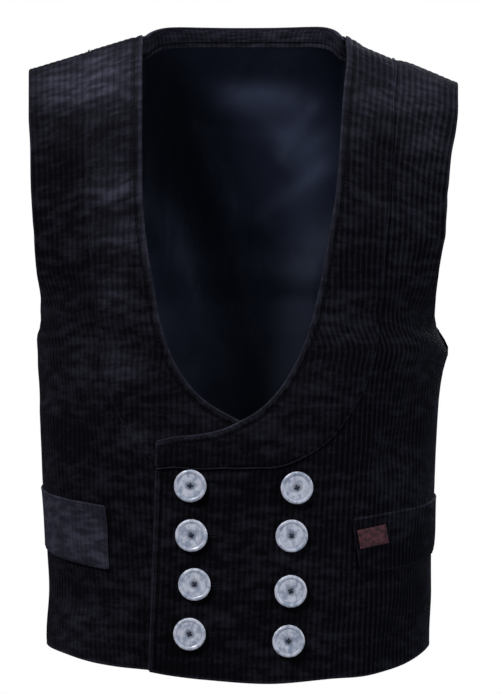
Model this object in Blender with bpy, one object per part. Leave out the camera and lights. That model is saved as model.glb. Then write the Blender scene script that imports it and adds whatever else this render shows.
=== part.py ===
"""Double-breasted corduroy waistcoat, filled out as when worn.

Metres, +Z up. The front faces -Y and the wearer's left is +X. The origin is the
middle of the shoulder line, where the wearer's shoulders hold the garment up.

The cloth lies on one form. A place on the form is a pair (turn, level): level is the
drop below the shoulder line and turn is the angle round a section, 0 at the middle
and a quarter turn at the side seam. Each panel is a grid of such places, extruded
inwards to its wall. What lies on a panel uses the panel's own points, moved out.
"""

from collections import namedtuple
import math

import bmesh
import bpy
import numpy as np
from mathutils import Matrix, Vector

# ---------------------------------------------------------------- driving sizes

CORDUROY = 0.0020  # wall of the fronts and the back
BAND_CLOTH = 0.0016  # wall of the neckline bands and the pocket welts
SATIN = 0.0010  # wall of the back lining
LABEL_CLOTH = 0.0010
GAP = 0.0003  # between pieces that meet at a seam
LAY_GAP = 0.0006  # under a piece that lies across another panel's grid
WELT_GAP = 0.0012  # under a pocket welt, which bridges small hollows of the front

NECK_HALF = 0.089  # from the middle to the neck point of the shoulder seam
NECK_BACK = 0.064  # how far behind the shoulder line the back neck lies
NECK_RISE = 0.0110  # how far the back neck stands above the neck points
NECK_RISE_REACH = 0.0029  # fall of the shoulder line within which the rise is made
NECK_TURN = 2.2  # squareness of the back neck seen from above
NECK_BLEND = 3.0  # how closely the back follows the neck before it leans out
NECK_END = 0.160  # the level below which the neck no longer shapes the back
SLOPE_MEAN = 0.364  # fall of the shoulders per metre outwards
SLOPE_DIFFERENCE = 0.061  # the wearer's left shoulder hangs a little lower
SLOPE_ROUND = 0.020  # rounds the shoulder line off at the middle
SLOPE_BLEND = 0.050  # rounds the change from one shoulder's slope to the other's
SLOPE_END = 0.260  # the level below which a section is level
FULLNESS = 2.4  # squareness of every section
SEAM_LEVEL = 1.0e-6  # start of a panel at the shoulder seam, 0.3 mm off the line
SEAM_SHARE = 0.004  # the same at the side seam, as a share of the depth
UNDERARM = 0.257  # level of the armhole's lowest point

OVERLAP_FADE = (0.080, 0.125)  # x where the top front comes down to the form
OVERLAP_START = (0.240, 0.325)  # level where it starts to rise over the lower front
UNDER_BAND_FADE = (0.365, 0.410)  # level where it leaves the lower band

BUTTON_RADIUS = 0.0136
BUTTON_THICK = 0.0034
BUTTON_HOLE = 0.0011
BUTTON_HOLE_SPREAD = 0.0023
BUTTON_STAND = 0.0012  # clear height of a button over the cloth
BUTTON_SIDES = 20
HOLE_SIDES = 6

LABEL_CENTRE = (0.1066, -0.4301)
LABEL_SIZE = (0.0250, 0.0165)
LABEL_TILT = math.radians(10.0)

# Cells of the panel grids.
BAND_CELLS = 3
FRONT_CELLS = 12
ARMHOLE_LINES = 15
SIDE_LINES = 11
HEM_LINES = 18
BACK_NECK_CELLS = 12
BACK_SHOULDER_CELLS = 6
BACK_ROWS = 25
BACK_ROW_SPREAD = 1.42  # rows lie closer together near the shoulders
FACING_ROWS = 2  # rows of the back that the facing covers inside the neck
HEM_TURN = 0.4  # share of the last row by which the lining ends above the hem
FACING_TRIM = 0.06  # share of a cell between the facing and the lining beside it
NECKLINE_UNDERARM = 0.52  # share of the neckline that lies opposite the underarm
NECKLINE_SIDE = 0.72  # share that lies opposite the side seam's foot
WELT_CELLS = (9, 3)
LABEL_CELLS = (4, 3)

# Small steps for reading the form.
NORMAL_STEP = 5.0e-4
DIRECTION_STEP = 0.01  # share of the neckline over which its direction is read
PLACE_ROUNDS = 30  # rounds for finding a place from x and z
ARMHOLE_SAMPLES = 200
CLOTH_CREASE = math.radians(50)  # corners over this angle stay sharp
BUTTON_CREASE = math.radians(40)

# A row for each section of the form, from the shoulder line down. cut is the place of
# the armhole's edge as a share of the depth, down to the side seam.
Section = namedtuple(
    "Section", "level half_width lean front_cut back_cut front_depth back_depth"
)
SECTIONS = (
    Section(0.000, 0.1850, 0.0000, 0.80, 0.80, 0.000, 0.000),
    Section(0.003, 0.1848, 0.0000, 0.80, 0.80, 0.021, 0.020),
    Section(0.008, 0.1842, 0.0000, 0.80, 0.80, 0.034, 0.032),
    Section(0.016, 0.1835, 0.0000, 0.80, 0.80, 0.047, 0.043),
    Section(0.030, 0.1828, 0.0000, 0.80, 0.80, 0.061, 0.056),
    Section(0.050, 0.1812, -0.0008, 0.80, 0.79, 0.076, 0.070),
    Section(0.080, 0.1778, -0.0022, 0.78, 0.74, 0.092, 0.085),
    Section(0.120, 0.1758, -0.0032, 0.75, 0.68, 0.106, 0.098),
    Section(0.165, 0.1732, -0.0035, 0.70, 0.62, 0.118, 0.107),
    Section(0.205, 0.1699, -0.0048, 0.60, 0.52, 0.125, 0.110),
    Section(0.228, 0.1682, -0.0044, 0.46, 0.41, 0.127, 0.110),
    Section(0.243, 0.1700, -0.0052, 0.31, 0.28, 0.128, 0.109),
    Section(0.252, 0.1724, -0.0044, 0.17, 0.15, 0.129, 0.108),
    Section(0.257, 0.1740, -0.0034, 0.00, 0.00, 0.129, 0.107),
    Section(0.274, 0.1785, 0.0001, 0.00, 0.00, 0.129, 0.105),
    Section(0.291, 0.1762, -0.0022, 0.00, 0.00, 0.129, 0.103),
    Section(0.320, 0.1730, -0.0034, 0.00, 0.00, 0.127, 0.099),
    Section(0.360, 0.1708, -0.0037, 0.00, 0.00, 0.125, 0.094),
    Section(0.400, 0.1692, -0.0037, 0.00, 0.00, 0.123, 0.091),
    Section(0.440, 0.1672, -0.0036, 0.00, 0.00, 0.122, 0.091),
    Section(0.480, 0.1661, -0.0027, 0.00, 0.00, 0.121, 0.094),
    Section(0.520, 0.1662, -0.0048, 0.00, 0.00, 0.120, 0.098),
    Section(0.560, 0.1636, -0.0036, 0.00, 0.00, 0.119, 0.100),
)

# Neckline edges seen from the front, from the shoulder to the overlap's top corner.
# x is counted from the middle towards the front's own side, so it ends below zero.
EdgePoint = namedtuple("EdgePoint", "x z")
NECKLINE_OVER = (
    EdgePoint(0.0892, 0.0000),
    EdgePoint(0.0896, -0.0210),
    EdgePoint(0.0866, -0.0485),
    EdgePoint(0.0838, -0.0794),
    EdgePoint(0.0820, -0.1064),
    EdgePoint(0.0790, -0.1396),
    EdgePoint(0.0752, -0.1640),
    EdgePoint(0.0708, -0.1876),
    EdgePoint(0.0672, -0.2093),
    EdgePoint(0.0586, -0.2477),
    EdgePoint(0.0507, -0.2710),
    EdgePoint(0.0424, -0.2885),
    EdgePoint(0.0278, -0.3102),
    EdgePoint(0.0124, -0.3252),
    EdgePoint(-0.0035, -0.3343),
    EdgePoint(-0.0180, -0.3408),
    EdgePoint(-0.0368, -0.3448),
    EdgePoint(-0.0568, -0.3468),
    EdgePoint(-0.0705, -0.3500),
)
NECKLINE_UNDER = (
    EdgePoint(0.0880, 0.0000),
    EdgePoint(0.0875, -0.0256),
    EdgePoint(0.0866, -0.0620),
    EdgePoint(0.0860, -0.1056),
    EdgePoint(0.0852, -0.1481),
    EdgePoint(0.0828, -0.1733),
    EdgePoint(0.0792, -0.2001),
    EdgePoint(0.0755, -0.2200),
    EdgePoint(0.0708, -0.2477),
    EdgePoint(0.0643, -0.2693),
    EdgePoint(0.0568, -0.2868),
    EdgePoint(0.0443, -0.3052),
    EdgePoint(0.0301, -0.3185),
    EdgePoint(0.0101, -0.3302),
    EdgePoint(-0.0115, -0.3400),
    EdgePoint(-0.0350, -0.3460),
    EdgePoint(-0.0570, -0.3490),
    EdgePoint(-0.0700, -0.3515),
)

# Width of the neckline bands, along the neckline from 0 to 1.
BandWidth = namedtuple("BandWidth", "along width")
BAND_OVER = (
    BandWidth(0.00, 0.0415),
    BandWidth(0.32, 0.0440),
    BandWidth(0.53, 0.0520),
    BandWidth(0.64, 0.0585),
    BandWidth(0.74, 0.0575),
    BandWidth(0.80, 0.0500),
    BandWidth(0.85, 0.0390),
    BandWidth(0.89, 0.0300),
    BandWidth(0.94, 0.0265),
    BandWidth(1.00, 0.0225),
)
BAND_UNDER = (
    BandWidth(0.00, 0.0460),
    BandWidth(0.33, 0.0460),
    BandWidth(0.49, 0.0480),
    BandWidth(0.61, 0.0550),
    BandWidth(0.71, 0.0630),
    BandWidth(0.76, 0.0650),
    BandWidth(0.84, 0.0500),
    BandWidth(1.00, 0.0280),
)
UNDER_BAND_END = 0.88  # the lower band stops here, under the top front
BAND_CORNER = 0.001  # x by which the band's seam ends beyond the neckline's end

# Hem: level of each front's lower edge by x, counted as in the neckline.
HemPoint = namedtuple("HemPoint", "x level")
HEM_OVER = (
    HemPoint(-0.0790, 0.5412),
    HemPoint(-0.0625, 0.5440),
    HemPoint(-0.0340, 0.5472),
    HemPoint(0.0220, 0.5508),
    HemPoint(0.0715, 0.5475),
    HemPoint(0.1000, 0.5462),
    HemPoint(0.1225, 0.5428),
    HemPoint(0.1366, 0.5394),
    HemPoint(0.1480, 0.5345),
    HemPoint(0.1620, 0.5270),
)
HEM_UNDER = (
    HemPoint(-0.0790, 0.5440),
    HemPoint(0.0000, 0.5440),
    HemPoint(0.0510, 0.5425),
    HemPoint(0.0812, 0.5400),
    HemPoint(0.1187, 0.5376),
    HemPoint(0.1380, 0.5340),
    HemPoint(0.1527, 0.5305),
    HemPoint(0.1690, 0.5275),
)
FREE_EDGE_FOOT = -0.0778  # x of the overlap's edge at the hem
BACK_HEM_SIDE = 0.5270
BACK_HEM_MIDDLE = 0.5400
BACK_HEM_CURVE = 3  # how late the back's hem rises towards the sides

# Pocket welts, as x and z of the inner corners and z of the ends at the side seam.
Welt = namedtuple("Welt", "side top_x top_z foot_x foot_z seam_top seam_foot")
WELT_LEFT = Welt(1.0, 0.0902, -0.4157, 0.0977, -0.4609, -0.3990, -0.4467)
WELT_RIGHT = Welt(-1.0, 0.1153, -0.4055, 0.1120, -0.4576, -0.3913, -0.4414)

# Button centres seen from the front.
BUTTONS_UNDER = (
    EdgePoint(-0.0433, -0.3864),
    EdgePoint(-0.0425, -0.4279),
    EdgePoint(-0.0400, -0.4686),
    EdgePoint(-0.0441, -0.5101),
)
BUTTONS_OVER = (
    EdgePoint(0.0439, -0.3881),
    EdgePoint(0.0397, -0.4283),
    EdgePoint(0.0389, -0.4744),
    EdgePoint(0.0372, -0.5159),
)

# A button's profile from its middle to its rim, as shares of radius and thickness.
ProfilePoint = namedtuple("ProfilePoint", "radius height")
BUTTON_PROFILE = (
    ProfilePoint(0.00, 0.56),
    ProfilePoint(0.36, 0.58),
    ProfilePoint(0.44, 0.80),
    ProfilePoint(0.72, 0.84),
    ProfilePoint(0.84, 1.00),
    ProfilePoint(1.00, 0.66),
    ProfilePoint(0.88, 0.00),
    ProfilePoint(0.00, 0.00),
)

# Largest folds: a soft ridge (height over 0) or trough along a line seen from the front.
Fold = namedtuple("Fold", "x0 z0 x1 z1 width height")
FRONT_FOLDS = (
    Fold(-0.174, -0.250, -0.146, -0.218, 0.0075, -0.0026),
    Fold(-0.170, -0.262, -0.128, -0.236, 0.0110, 0.0022),
    Fold(-0.158, -0.300, -0.120, -0.372, 0.0130, -0.0028),
    Fold(-0.150, -0.110, -0.100, -0.100, 0.0120, 0.0020),
    Fold(-0.165, -0.080, -0.112, -0.066, 0.0110, -0.0018),
    Fold(-0.140, -0.470, -0.118, -0.535, 0.0140, -0.0026),
    Fold(-0.162, -0.330, -0.160, -0.385, 0.0130, 0.0028),
    Fold(0.176, -0.268, 0.140, -0.232, 0.0090, -0.0026),
    Fold(0.162, -0.285, 0.124, -0.365, 0.0130, -0.0028),
    Fold(0.152, -0.108, 0.108, -0.088, 0.0110, 0.0022),
    Fold(0.166, -0.084, 0.124, -0.058, 0.0100, -0.0020),
    Fold(0.150, -0.452, 0.128, -0.530, 0.0150, -0.0026),
    Fold(0.128, -0.470, 0.100, -0.535, 0.0150, 0.0020),
    Fold(0.100, -0.375, 0.142, -0.352, 0.0110, -0.0020),
    Fold(0.108, -0.009, 0.128, -0.018, 0.0110, -0.0034),
)
BACK_FOLDS = (
    Fold(-0.150, -0.270, -0.086, -0.385, 0.0150, -0.0034),
    Fold(0.146, -0.262, 0.082, -0.378, 0.0150, -0.0034),
    Fold(-0.120, -0.400, -0.020, -0.412, 0.0140, 0.0026),
    Fold(0.030, -0.392, 0.126, -0.372, 0.0130, 0.0024),
    Fold(-0.060, -0.430, -0.078, -0.535, 0.0180, -0.0032),
    Fold(0.046, -0.426, 0.070, -0.535, 0.0180, -0.0030),
    Fold(-0.165, -0.100, -0.110, -0.150, 0.0140, -0.0024),
    Fold(0.165, -0.104, 0.116, -0.156, 0.0140, -0.0024),
    Fold(-0.050, -0.044, 0.046, -0.050, 0.0120, -0.0018),
    Fold(0.108, -0.009, 0.128, -0.018, 0.0110, -0.0034),
)

Finish = namedtuple("Finish", "colour roughness")
CORD_FINISH = Finish((0.016, 0.016, 0.024), 0.85)
SATIN_FINISH = Finish((0.014, 0.020, 0.045), 0.35)
SHELL_FINISH = Finish((0.62, 0.64, 0.72), 0.25)
LABEL_FINISH = Finish((0.30, 0.045, 0.055), 0.75)

# ---------------------------------------------------------------- the form


def smooth_table(rows, key, column):
    """Return a function that reads one column of a table smoothly by its key."""
    at = np.array([getattr(row, key) for row in rows])
    value = np.array([getattr(row, column) for row in rows])
    return lambda x: hermite(x, at, value)


def hermite(x, at, value):
    """Read a curve through the points (at, value), keeping rises and falls as given."""
    step = np.diff(at)
    slope = np.diff(value) / step
    inner = np.where(
        slope[:-1] * slope[1:] > 0,
        2 * slope[:-1] * slope[1:] / (slope[:-1] + slope[1:] + 1e-30),
        0.0,
    )
    tangent = np.concatenate([[slope[0]], inner, [slope[-1]]])
    x = np.clip(x, at[0], at[-1])
    i = np.clip(np.searchsorted(at, x, side="right") - 1, 0, len(step) - 1)
    t = (x - at[i]) / step[i]
    start = value[i] * (1 + 2 * t) * (1 - t) ** 2 + value[i + 1] * t * t * (3 - 2 * t)
    return start + step[i] * (tangent[i] * t * (1 - t) ** 2 + tangent[i + 1] * t * t * (t - 1))


def smooth_step(x, low, high):
    """Rise from 0 at low to 1 at high with level ends."""
    t = np.clip((x - low) / (high - low), 0.0, 1.0)
    return t * t * (3 - 2 * t)


SECTION_ROOTS = np.sqrt([row.level for row in SECTIONS])


def section_value(column, level):
    """Read a column of the sections by the root of the level, level at the shoulders."""
    value = np.array([getattr(row, column) for row in SECTIONS])
    return hermite(np.sqrt(np.maximum(level, 0.0)), SECTION_ROOTS, value)


def cut_column(back):
    """Return the names of the cut and depth columns of the front or the back."""
    return ("back_cut", "back_depth") if back else ("front_cut", "front_depth")


def edge_turn(level, back=False):
    """Turn of the panel's outer edge: the armhole, then the side seam."""
    cut = np.maximum(section_value(cut_column(back)[0], level), SEAM_SHARE)
    return np.arcsin((1 - cut**FULLNESS) ** (1 / FULLNESS))


def reach(level, back=False):
    """Half-width that the section would have at a quarter turn."""
    return section_value("half_width", level) / np.sin(edge_turn(level, back))


def shoulder_fall(x, back=False):
    """Height of the shoulder line below the neck points, seen from the front."""
    across = np.sqrt(x * x + SLOPE_ROUND**2)
    slope = SLOPE_MEAN + SLOPE_DIFFERENCE * x / np.sqrt(x * x + SLOPE_BLEND**2)
    fall = slope * (across - NECK_HALF)
    if not back:
        return fall
    rise = NECK_RISE * (1 - np.exp(np.minimum(fall, 0.0) / NECK_RISE_REACH))
    return np.where(fall > 0, fall, -rise)


def base_place(turn, level, back=False):
    """Point of the bare form at a turn and a level."""
    half = reach(level, back)
    depth = section_value(cut_column(back)[1], level)
    across = half * np.sin(turn)
    lean = section_value("lean", level)
    share = np.clip(1 - np.abs(np.sin(turn)) ** FULLNESS, 0.0, 1.0) ** (1 / FULLNESS)
    out = depth * share
    if back:
        inside = np.clip(1 - np.abs(across / NECK_HALF) ** NECK_TURN, 0.0, 1.0)
        neck = NECK_BACK * inside ** (1 / NECK_TURN) * (1 - smooth_step(level, 0.0, NECK_END))
        out = (out**NECK_BLEND + neck**NECK_BLEND) ** (1 / NECK_BLEND)
    fade = 1 - smooth_step(level, 0.0, SLOPE_END)
    z = -level - shoulder_fall(across, back) * fade
    y = out if back else -out
    return np.stack([across + lean, y, z], axis=-1)


def relief(points, folds):
    """Height of the folds over the form at points, seen from the front."""
    x, z = points[..., 0], points[..., 2]
    total = np.zeros_like(x)
    for fold in folds:
        along = np.array([fold.x1 - fold.x0, fold.z1 - fold.z0])
        length = float(np.hypot(*along))
        unit = along / length
        run = (x - fold.x0) * unit[0] + (z - fold.z0) * unit[1]
        off = -(x - fold.x0) * unit[1] + (z - fold.z0) * unit[0]
        past = np.maximum(0.0, np.maximum(-run, run - length))
        total += fold.height * np.exp(-((off / fold.width) ** 2) - (past / fold.width) ** 2)
    return total


def normals_of(place, turn, level, back):
    """Outward normals of a surface given as a function of turn and level."""
    root = np.sqrt(np.maximum(level, 0.0))
    by_turn = place(turn + NORMAL_STEP, level) - place(turn - NORMAL_STEP, level)
    low = np.maximum(root - NORMAL_STEP, 0.0)
    by_level = place(turn, (root + NORMAL_STEP) ** 2) - place(turn, low**2)
    normal = np.cross(by_turn, by_level) if back else np.cross(by_level, by_turn)
    return normal / np.linalg.norm(normal, axis=-1, keepdims=True)


def cloth_place(turn, level, back=False):
    """Point of the cloth's outer face: the form with its folds."""
    base = base_place(turn, level, back)
    normal = normals_of(lambda t, v: base_place(t, v, back), turn, level, back)
    folds = BACK_FOLDS if back else FRONT_FOLDS
    return base + normal * relief(base, folds)[..., None]


def cloth(turn, level, back=False):
    """Points and outward normals of the cloth's outer face."""
    points = cloth_place(turn, level, back)
    normal = normals_of(lambda t, v: cloth_place(t, v, back), turn, level, back)
    return points, normal


def place_of(x, z, back=False):
    """Turn and level of a point seen from the front at x and z."""
    level = np.maximum(-z, SEAM_LEVEL)
    for _ in range(PLACE_ROUNDS):
        across = x - section_value("lean", level)
        fade = 1 - smooth_step(level, 0.0, SLOPE_END)
        level = np.maximum(-z - shoulder_fall(across, back) * fade, SEAM_LEVEL)
    across = x - section_value("lean", level)
    return np.arcsin(np.clip(across / reach(level, back), -1.0, 1.0)), level


# ---------------------------------------------------------------- curves and grids


def even_curve(points, shares):
    """Read a smooth curve through points at shares of its length."""
    points = np.array([tuple(p) for p in points])
    step = np.linalg.norm(np.diff(points, axis=0), axis=1)
    along = np.concatenate([[0.0], np.cumsum(step)]) / step.sum()
    return np.stack([hermite(shares, along, points[:, k]) for k in range(points.shape[1])], axis=-1)


def line_shares(parts):
    """Join runs of evenly spaced shares: each part is (end share, number of steps)."""
    shares = [0.0]
    for end, steps in parts:
        start = shares[-1]
        shares.extend(start + (end - start) * (k + 1) / steps for k in range(steps))
    return np.array(shares)


def outer_boundary(side, hem):
    """Places from the shoulder tip down the armhole and side seam and along the hem."""
    dense = np.linspace(np.sqrt(SEAM_LEVEL), np.sqrt(UNDERARM), ARMHOLE_SAMPLES) ** 2
    turns = edge_turn(dense)
    run = base_place(turns, dense)
    along = np.concatenate([[0.0], np.cumsum(np.linalg.norm(np.diff(run, axis=0), axis=1))])
    want = np.linspace(0.0, along[-1], ARMHOLE_LINES + 1)
    armhole = np.interp(want, along, dense)
    hem_level = smooth_table(hem, "x", "level")
    side_foot = hem[-1].level
    seam = np.linspace(UNDERARM, side_foot, SIDE_LINES + 1)[1:]
    levels = np.concatenate([armhole, seam])
    turns = edge_turn(levels)
    lean = side * section_value("lean", side_foot)
    start = edge_turn(side_foot)
    end = np.arcsin((FREE_EDGE_FOOT - lean) / reach(side_foot))
    hem_turns = np.linspace(start, end, HEM_LINES + 1)[1:]
    hem_x = reach(side_foot) * np.sin(hem_turns) + lean
    return np.concatenate([turns, hem_turns]), np.concatenate([levels, hem_level(hem_x)])


def front_grid(side, neckline, band, hem):
    """Turns and levels of a front: lines from the neckline to the outer boundary.

    The first BAND_CELLS columns lie between the neckline and the band's seam.
    """
    shares = line_shares(
        ((NECKLINE_UNDERARM, ARMHOLE_LINES), (NECKLINE_SIDE, SIDE_LINES), (1.0, HEM_LINES))
    )
    edge = even_curve(neckline, shares)
    ahead = even_curve(neckline, np.clip(shares + DIRECTION_STEP, 0, 1))
    behind = even_curve(neckline, np.clip(shares - DIRECTION_STEP, 0, 1))
    near = ahead - behind
    near /= np.linalg.norm(near, axis=1, keepdims=True)
    down_out = np.stack([-near[:, 1], near[:, 0]], axis=-1)
    width = smooth_table(band, "along", "width")(shares)
    seam = edge + down_out * width[:, None]
    seam[0] = (edge[0, 0] + width[0], edge[0, 1])
    seam[-1] = (edge[-1, 0] - BAND_CORNER, edge[-1, 1] - width[-1])
    edge_turns, edge_levels = place_of(side * edge[:, 0], edge[:, 1])
    seam_turns, seam_levels = place_of(side * seam[:, 0], seam[:, 1])
    edge_turns, seam_turns = side * edge_turns, side * seam_turns
    edge_levels[0] = seam_levels[0] = SEAM_LEVEL
    outer_turns, outer_levels = outer_boundary(side, hem)
    inner = np.linspace(0.0, 1.0, BAND_CELLS + 1)[:-1]
    rest = np.linspace(0.0, 1.0, FRONT_CELLS + 1)
    turns = np.concatenate(
        [
            edge_turns[:, None] * (1 - inner) + seam_turns[:, None] * inner,
            seam_turns[:, None] * (1 - rest) + outer_turns[:, None] * rest,
        ],
        axis=1,
    )
    levels = np.concatenate(
        [
            edge_levels[:, None] * (1 - inner) + seam_levels[:, None] * inner,
            seam_levels[:, None] * (1 - rest) + outer_levels[:, None] * rest,
        ],
        axis=1,
    )
    return side * turns, levels, shares


def top_front_lift(points):
    """How far the top front stands off the form, over the front and band beneath."""
    x, level = points[..., 0], -points[..., 2]
    across = (1 - smooth_step(x, *OVERLAP_FADE)) * smooth_step(level, *OVERLAP_START)
    band = 1 - smooth_step(level, *UNDER_BAND_FADE)
    return across * (CORDUROY + LAY_GAP + band * (BAND_CLOTH + GAP + LAY_GAP))


def back_grid():
    """Turns and levels of the back, from the neck and shoulders down to the hem."""
    tip = edge_turn(SEAM_LEVEL, back=True)
    neck = np.arcsin(NECK_HALF / reach(SEAM_LEVEL, back=True))
    half = np.concatenate(
        [
            np.linspace(0.0, neck, BACK_NECK_CELLS // 2 + 1)[:-1],
            np.linspace(neck, tip, BACK_SHOULDER_CELLS + 1),
        ]
    )
    shares = np.concatenate([-half[:0:-1], half]) / tip
    bottom = BACK_HEM_MIDDLE + (BACK_HEM_SIDE - BACK_HEM_MIDDLE) * np.abs(shares) ** BACK_HEM_CURVE
    down = np.linspace(0.0, 1.0, BACK_ROWS + 1)[:, None] ** BACK_ROW_SPREAD
    levels = SEAM_LEVEL + (bottom - SEAM_LEVEL) * down
    turns = shares[None, :] * edge_turn(levels, back=True)
    return turns, levels


# ---------------------------------------------------------------- meshes


def finish_material(name, finish):
    """Make a Principled material."""
    material = bpy.data.materials.new(name)
    material.use_nodes = True
    shader = material.node_tree.nodes["Principled BSDF"]
    shader.inputs["Base Color"].default_value = (*finish.colour, 1.0)
    shader.inputs["Roughness"].default_value = finish.roughness
    return material


def link_object(name, mesh, finish):
    """Put a mesh in the scene as a named object with its own material."""
    thing = bpy.data.objects.new(name, mesh)
    bpy.context.scene.collection.objects.link(thing)
    mesh.materials.append(finish_material(name + "_material", finish))
    return thing


def cloth_wall(name, points, normals, thickness, finish, keep=None):
    """Make a wall from a grid of points on its outer face, thickened inwards.

    The rows and columns of points become the rows and columns of a plain grid. keep
    tells which cells of the grid the piece has, as a table of rows and columns.
    """
    rows, columns = points.shape[0] - 1, points.shape[1] - 1
    inner = points - normals * thickness
    shape = bmesh.new()
    spot = shape.verts.layers.int.new("spot")
    bmesh.ops.create_grid(shape, x_segments=columns, y_segments=rows, size=0.5)
    if keep is not None:
        unused = [face for face in shape.faces if not keep[grid_cell(face, rows, columns)]]
        bmesh.ops.delete(shape, geom=unused, context="FACES")
    for vertex in shape.verts:
        column = round((vertex.co.x + 0.5) * columns)
        row = round((vertex.co.y + 0.5) * rows)
        vertex[spot] = row * (columns + 1) + column
        vertex.co = Vector(points[row, column])
    bmesh.ops.triangulate(shape, faces=shape.faces, quad_method="FIXED")
    made = bmesh.ops.extrude_face_region(shape, geom=shape.faces[:], use_keep_orig=True)
    for part in made["geom"]:
        if isinstance(part, bmesh.types.BMVert):
            part.co = Vector(inner[divmod(part[spot], columns + 1)])
    bmesh.ops.recalc_face_normals(shape, faces=shape.faces)
    mesh = bpy.data.meshes.new(name)
    shape.to_mesh(mesh)
    shape.free()
    mesh.shade_smooth()
    mesh.set_sharp_from_angle(angle=CLOTH_CREASE)
    return link_object(name, mesh, finish)


def grid_cell(face, rows, columns):
    """Row and column of a face of the plain grid."""
    middle = face.calc_center_median()
    return int((middle.y + 0.5) * rows), int((middle.x + 0.5) * columns)


def button_disc():
    """Turn a button's profile."""
    shape = bmesh.new()
    vertices = [
        shape.verts.new((p.radius * BUTTON_RADIUS, 0.0, p.height * BUTTON_THICK))
        for p in BUTTON_PROFILE
    ]
    edges = [shape.edges.new(pair) for pair in zip(vertices, vertices[1:])]
    bmesh.ops.spin(
        shape,
        geom=vertices + edges,
        cent=(0.0, 0.0, 0.0),
        axis=(0.0, 0.0, 1.0),
        angle=2 * math.pi,
        steps=BUTTON_SIDES,
        use_merge=True,
    )
    bmesh.ops.remove_doubles(shape, verts=shape.verts, dist=1e-6)
    bmesh.ops.recalc_face_normals(shape, faces=shape.faces)
    return spare_object("button_disc", shape)


def hole_pins():
    """Make four pins that stand where a button's thread holes go."""
    shape = bmesh.new()
    for quarter in range(4):
        angle = math.pi / 4 + quarter * math.pi / 2
        spot = Vector((math.cos(angle), math.sin(angle), 0.0)) * BUTTON_HOLE_SPREAD
        bmesh.ops.create_cone(
            shape,
            cap_ends=True,
            segments=HOLE_SIDES,
            radius1=BUTTON_HOLE,
            radius2=BUTTON_HOLE,
            depth=4 * BUTTON_THICK,
            matrix=Matrix.Translation(spot),
        )
    return spare_object("hole_pins", shape)


def spare_object(name, shape):
    """Put a shape in the scene for as long as a cut needs it."""
    mesh = bpy.data.meshes.new(name)
    shape.to_mesh(mesh)
    shape.free()
    thing = bpy.data.objects.new(name, mesh)
    bpy.context.scene.collection.objects.link(thing)
    return thing


def button_mesh():
    """Cut the thread holes into a button's disc and return its mesh."""
    disc = button_disc()
    pins = hole_pins()
    cut = disc.modifiers.new("thread_holes", "BOOLEAN")
    cut.operation = "DIFFERENCE"
    cut.object = pins
    graph = bpy.context.evaluated_depsgraph_get()
    mesh = bpy.data.meshes.new_from_object(disc.evaluated_get(graph))
    for spare in (disc, pins):
        bpy.data.objects.remove(spare, do_unlink=True)
    mesh.shade_smooth()
    mesh.set_sharp_from_angle(angle=BUTTON_CREASE)
    return mesh


# ---------------------------------------------------------------- pieces


def build_front(name, side, neckline, band, hem, lift=None):
    """Make one front; return the grid of its outer face and the neckline shares."""
    turns, levels, shares = front_grid(side, neckline, band, hem)
    points, normals = cloth(turns, levels)
    if lift is not None:
        points = points + normals * lift(points)[..., None]
    cloth_wall(name, points, normals, CORDUROY, CORD_FINISH)
    return points, normals, shares


def build_band(name, points, normals, shares, end=1.0):
    """Lay a band along a front's neckline, from the front's own points, moved out."""
    rows = int(np.searchsorted(shares, end - 1e-9)) + 1
    points, normals = points[:rows, : BAND_CELLS + 1], normals[:rows, : BAND_CELLS + 1]
    outer = points + normals * (GAP + BAND_CLOTH)
    cloth_wall(name, outer, normals, BAND_CLOTH, CORD_FINISH)


def build_back():
    """Make the back, its lining and the facing inside the back neck."""
    turns, levels = back_grid()
    points, normals = cloth(turns, levels, back=True)
    cloth_wall("back", points, normals, CORDUROY, CORD_FINISH)
    neck = slice(BACK_SHOULDER_CELLS, BACK_SHOULDER_CELLS + BACK_NECK_CELLS)
    keep = np.ones((BACK_ROWS, BACK_NECK_CELLS + 2 * BACK_SHOULDER_CELLS), dtype=bool)
    keep[:FACING_ROWS, neck] = False
    inner_face = points - normals * (CORDUROY + LAY_GAP)
    lining = inner_face.copy()
    lining[-1] += (lining[-2] - lining[-1]) * HEM_TURN
    cloth_wall("back_lining", lining, normals, SATIN, SATIN_FINISH, keep)
    strip = (slice(0, FACING_ROWS + 1), slice(neck.start, neck.stop + 1))
    inner = inner_face[strip].copy()
    normals = normals[strip]
    inner[-1] += (inner[-2] - inner[-1]) * FACING_TRIM
    inner[:, 0] += (inner[:, 1] - inner[:, 0]) * FACING_TRIM
    inner[:, -1] += (inner[:, -2] - inner[:, -1]) * FACING_TRIM
    cloth_wall("neck_facing", inner, normals, BAND_CLOTH, CORD_FINISH)


def welt_places(welt, across, down):
    """Turns and levels at shares across and down a pocket welt."""
    x = welt.side * np.array([welt.top_x, welt.foot_x])
    turns, levels = place_of(x, np.array([welt.top_z, welt.foot_z]))
    turns = welt.side * turns
    seam_levels = np.array([-welt.seam_top, -welt.seam_foot])
    seam_turns = edge_turn(seam_levels)
    inner_turn = turns[0] * (1 - down) + turns[1] * down
    inner_level = levels[0] * (1 - down) + levels[1] * down
    seam_turn = seam_turns[0] * (1 - down) + seam_turns[1] * down
    seam_level = seam_levels[0] * (1 - down) + seam_levels[1] * down
    turn = inner_turn * (1 - across) + seam_turn * across
    return welt.side * turn, inner_level * (1 - across) + seam_level * across


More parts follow.
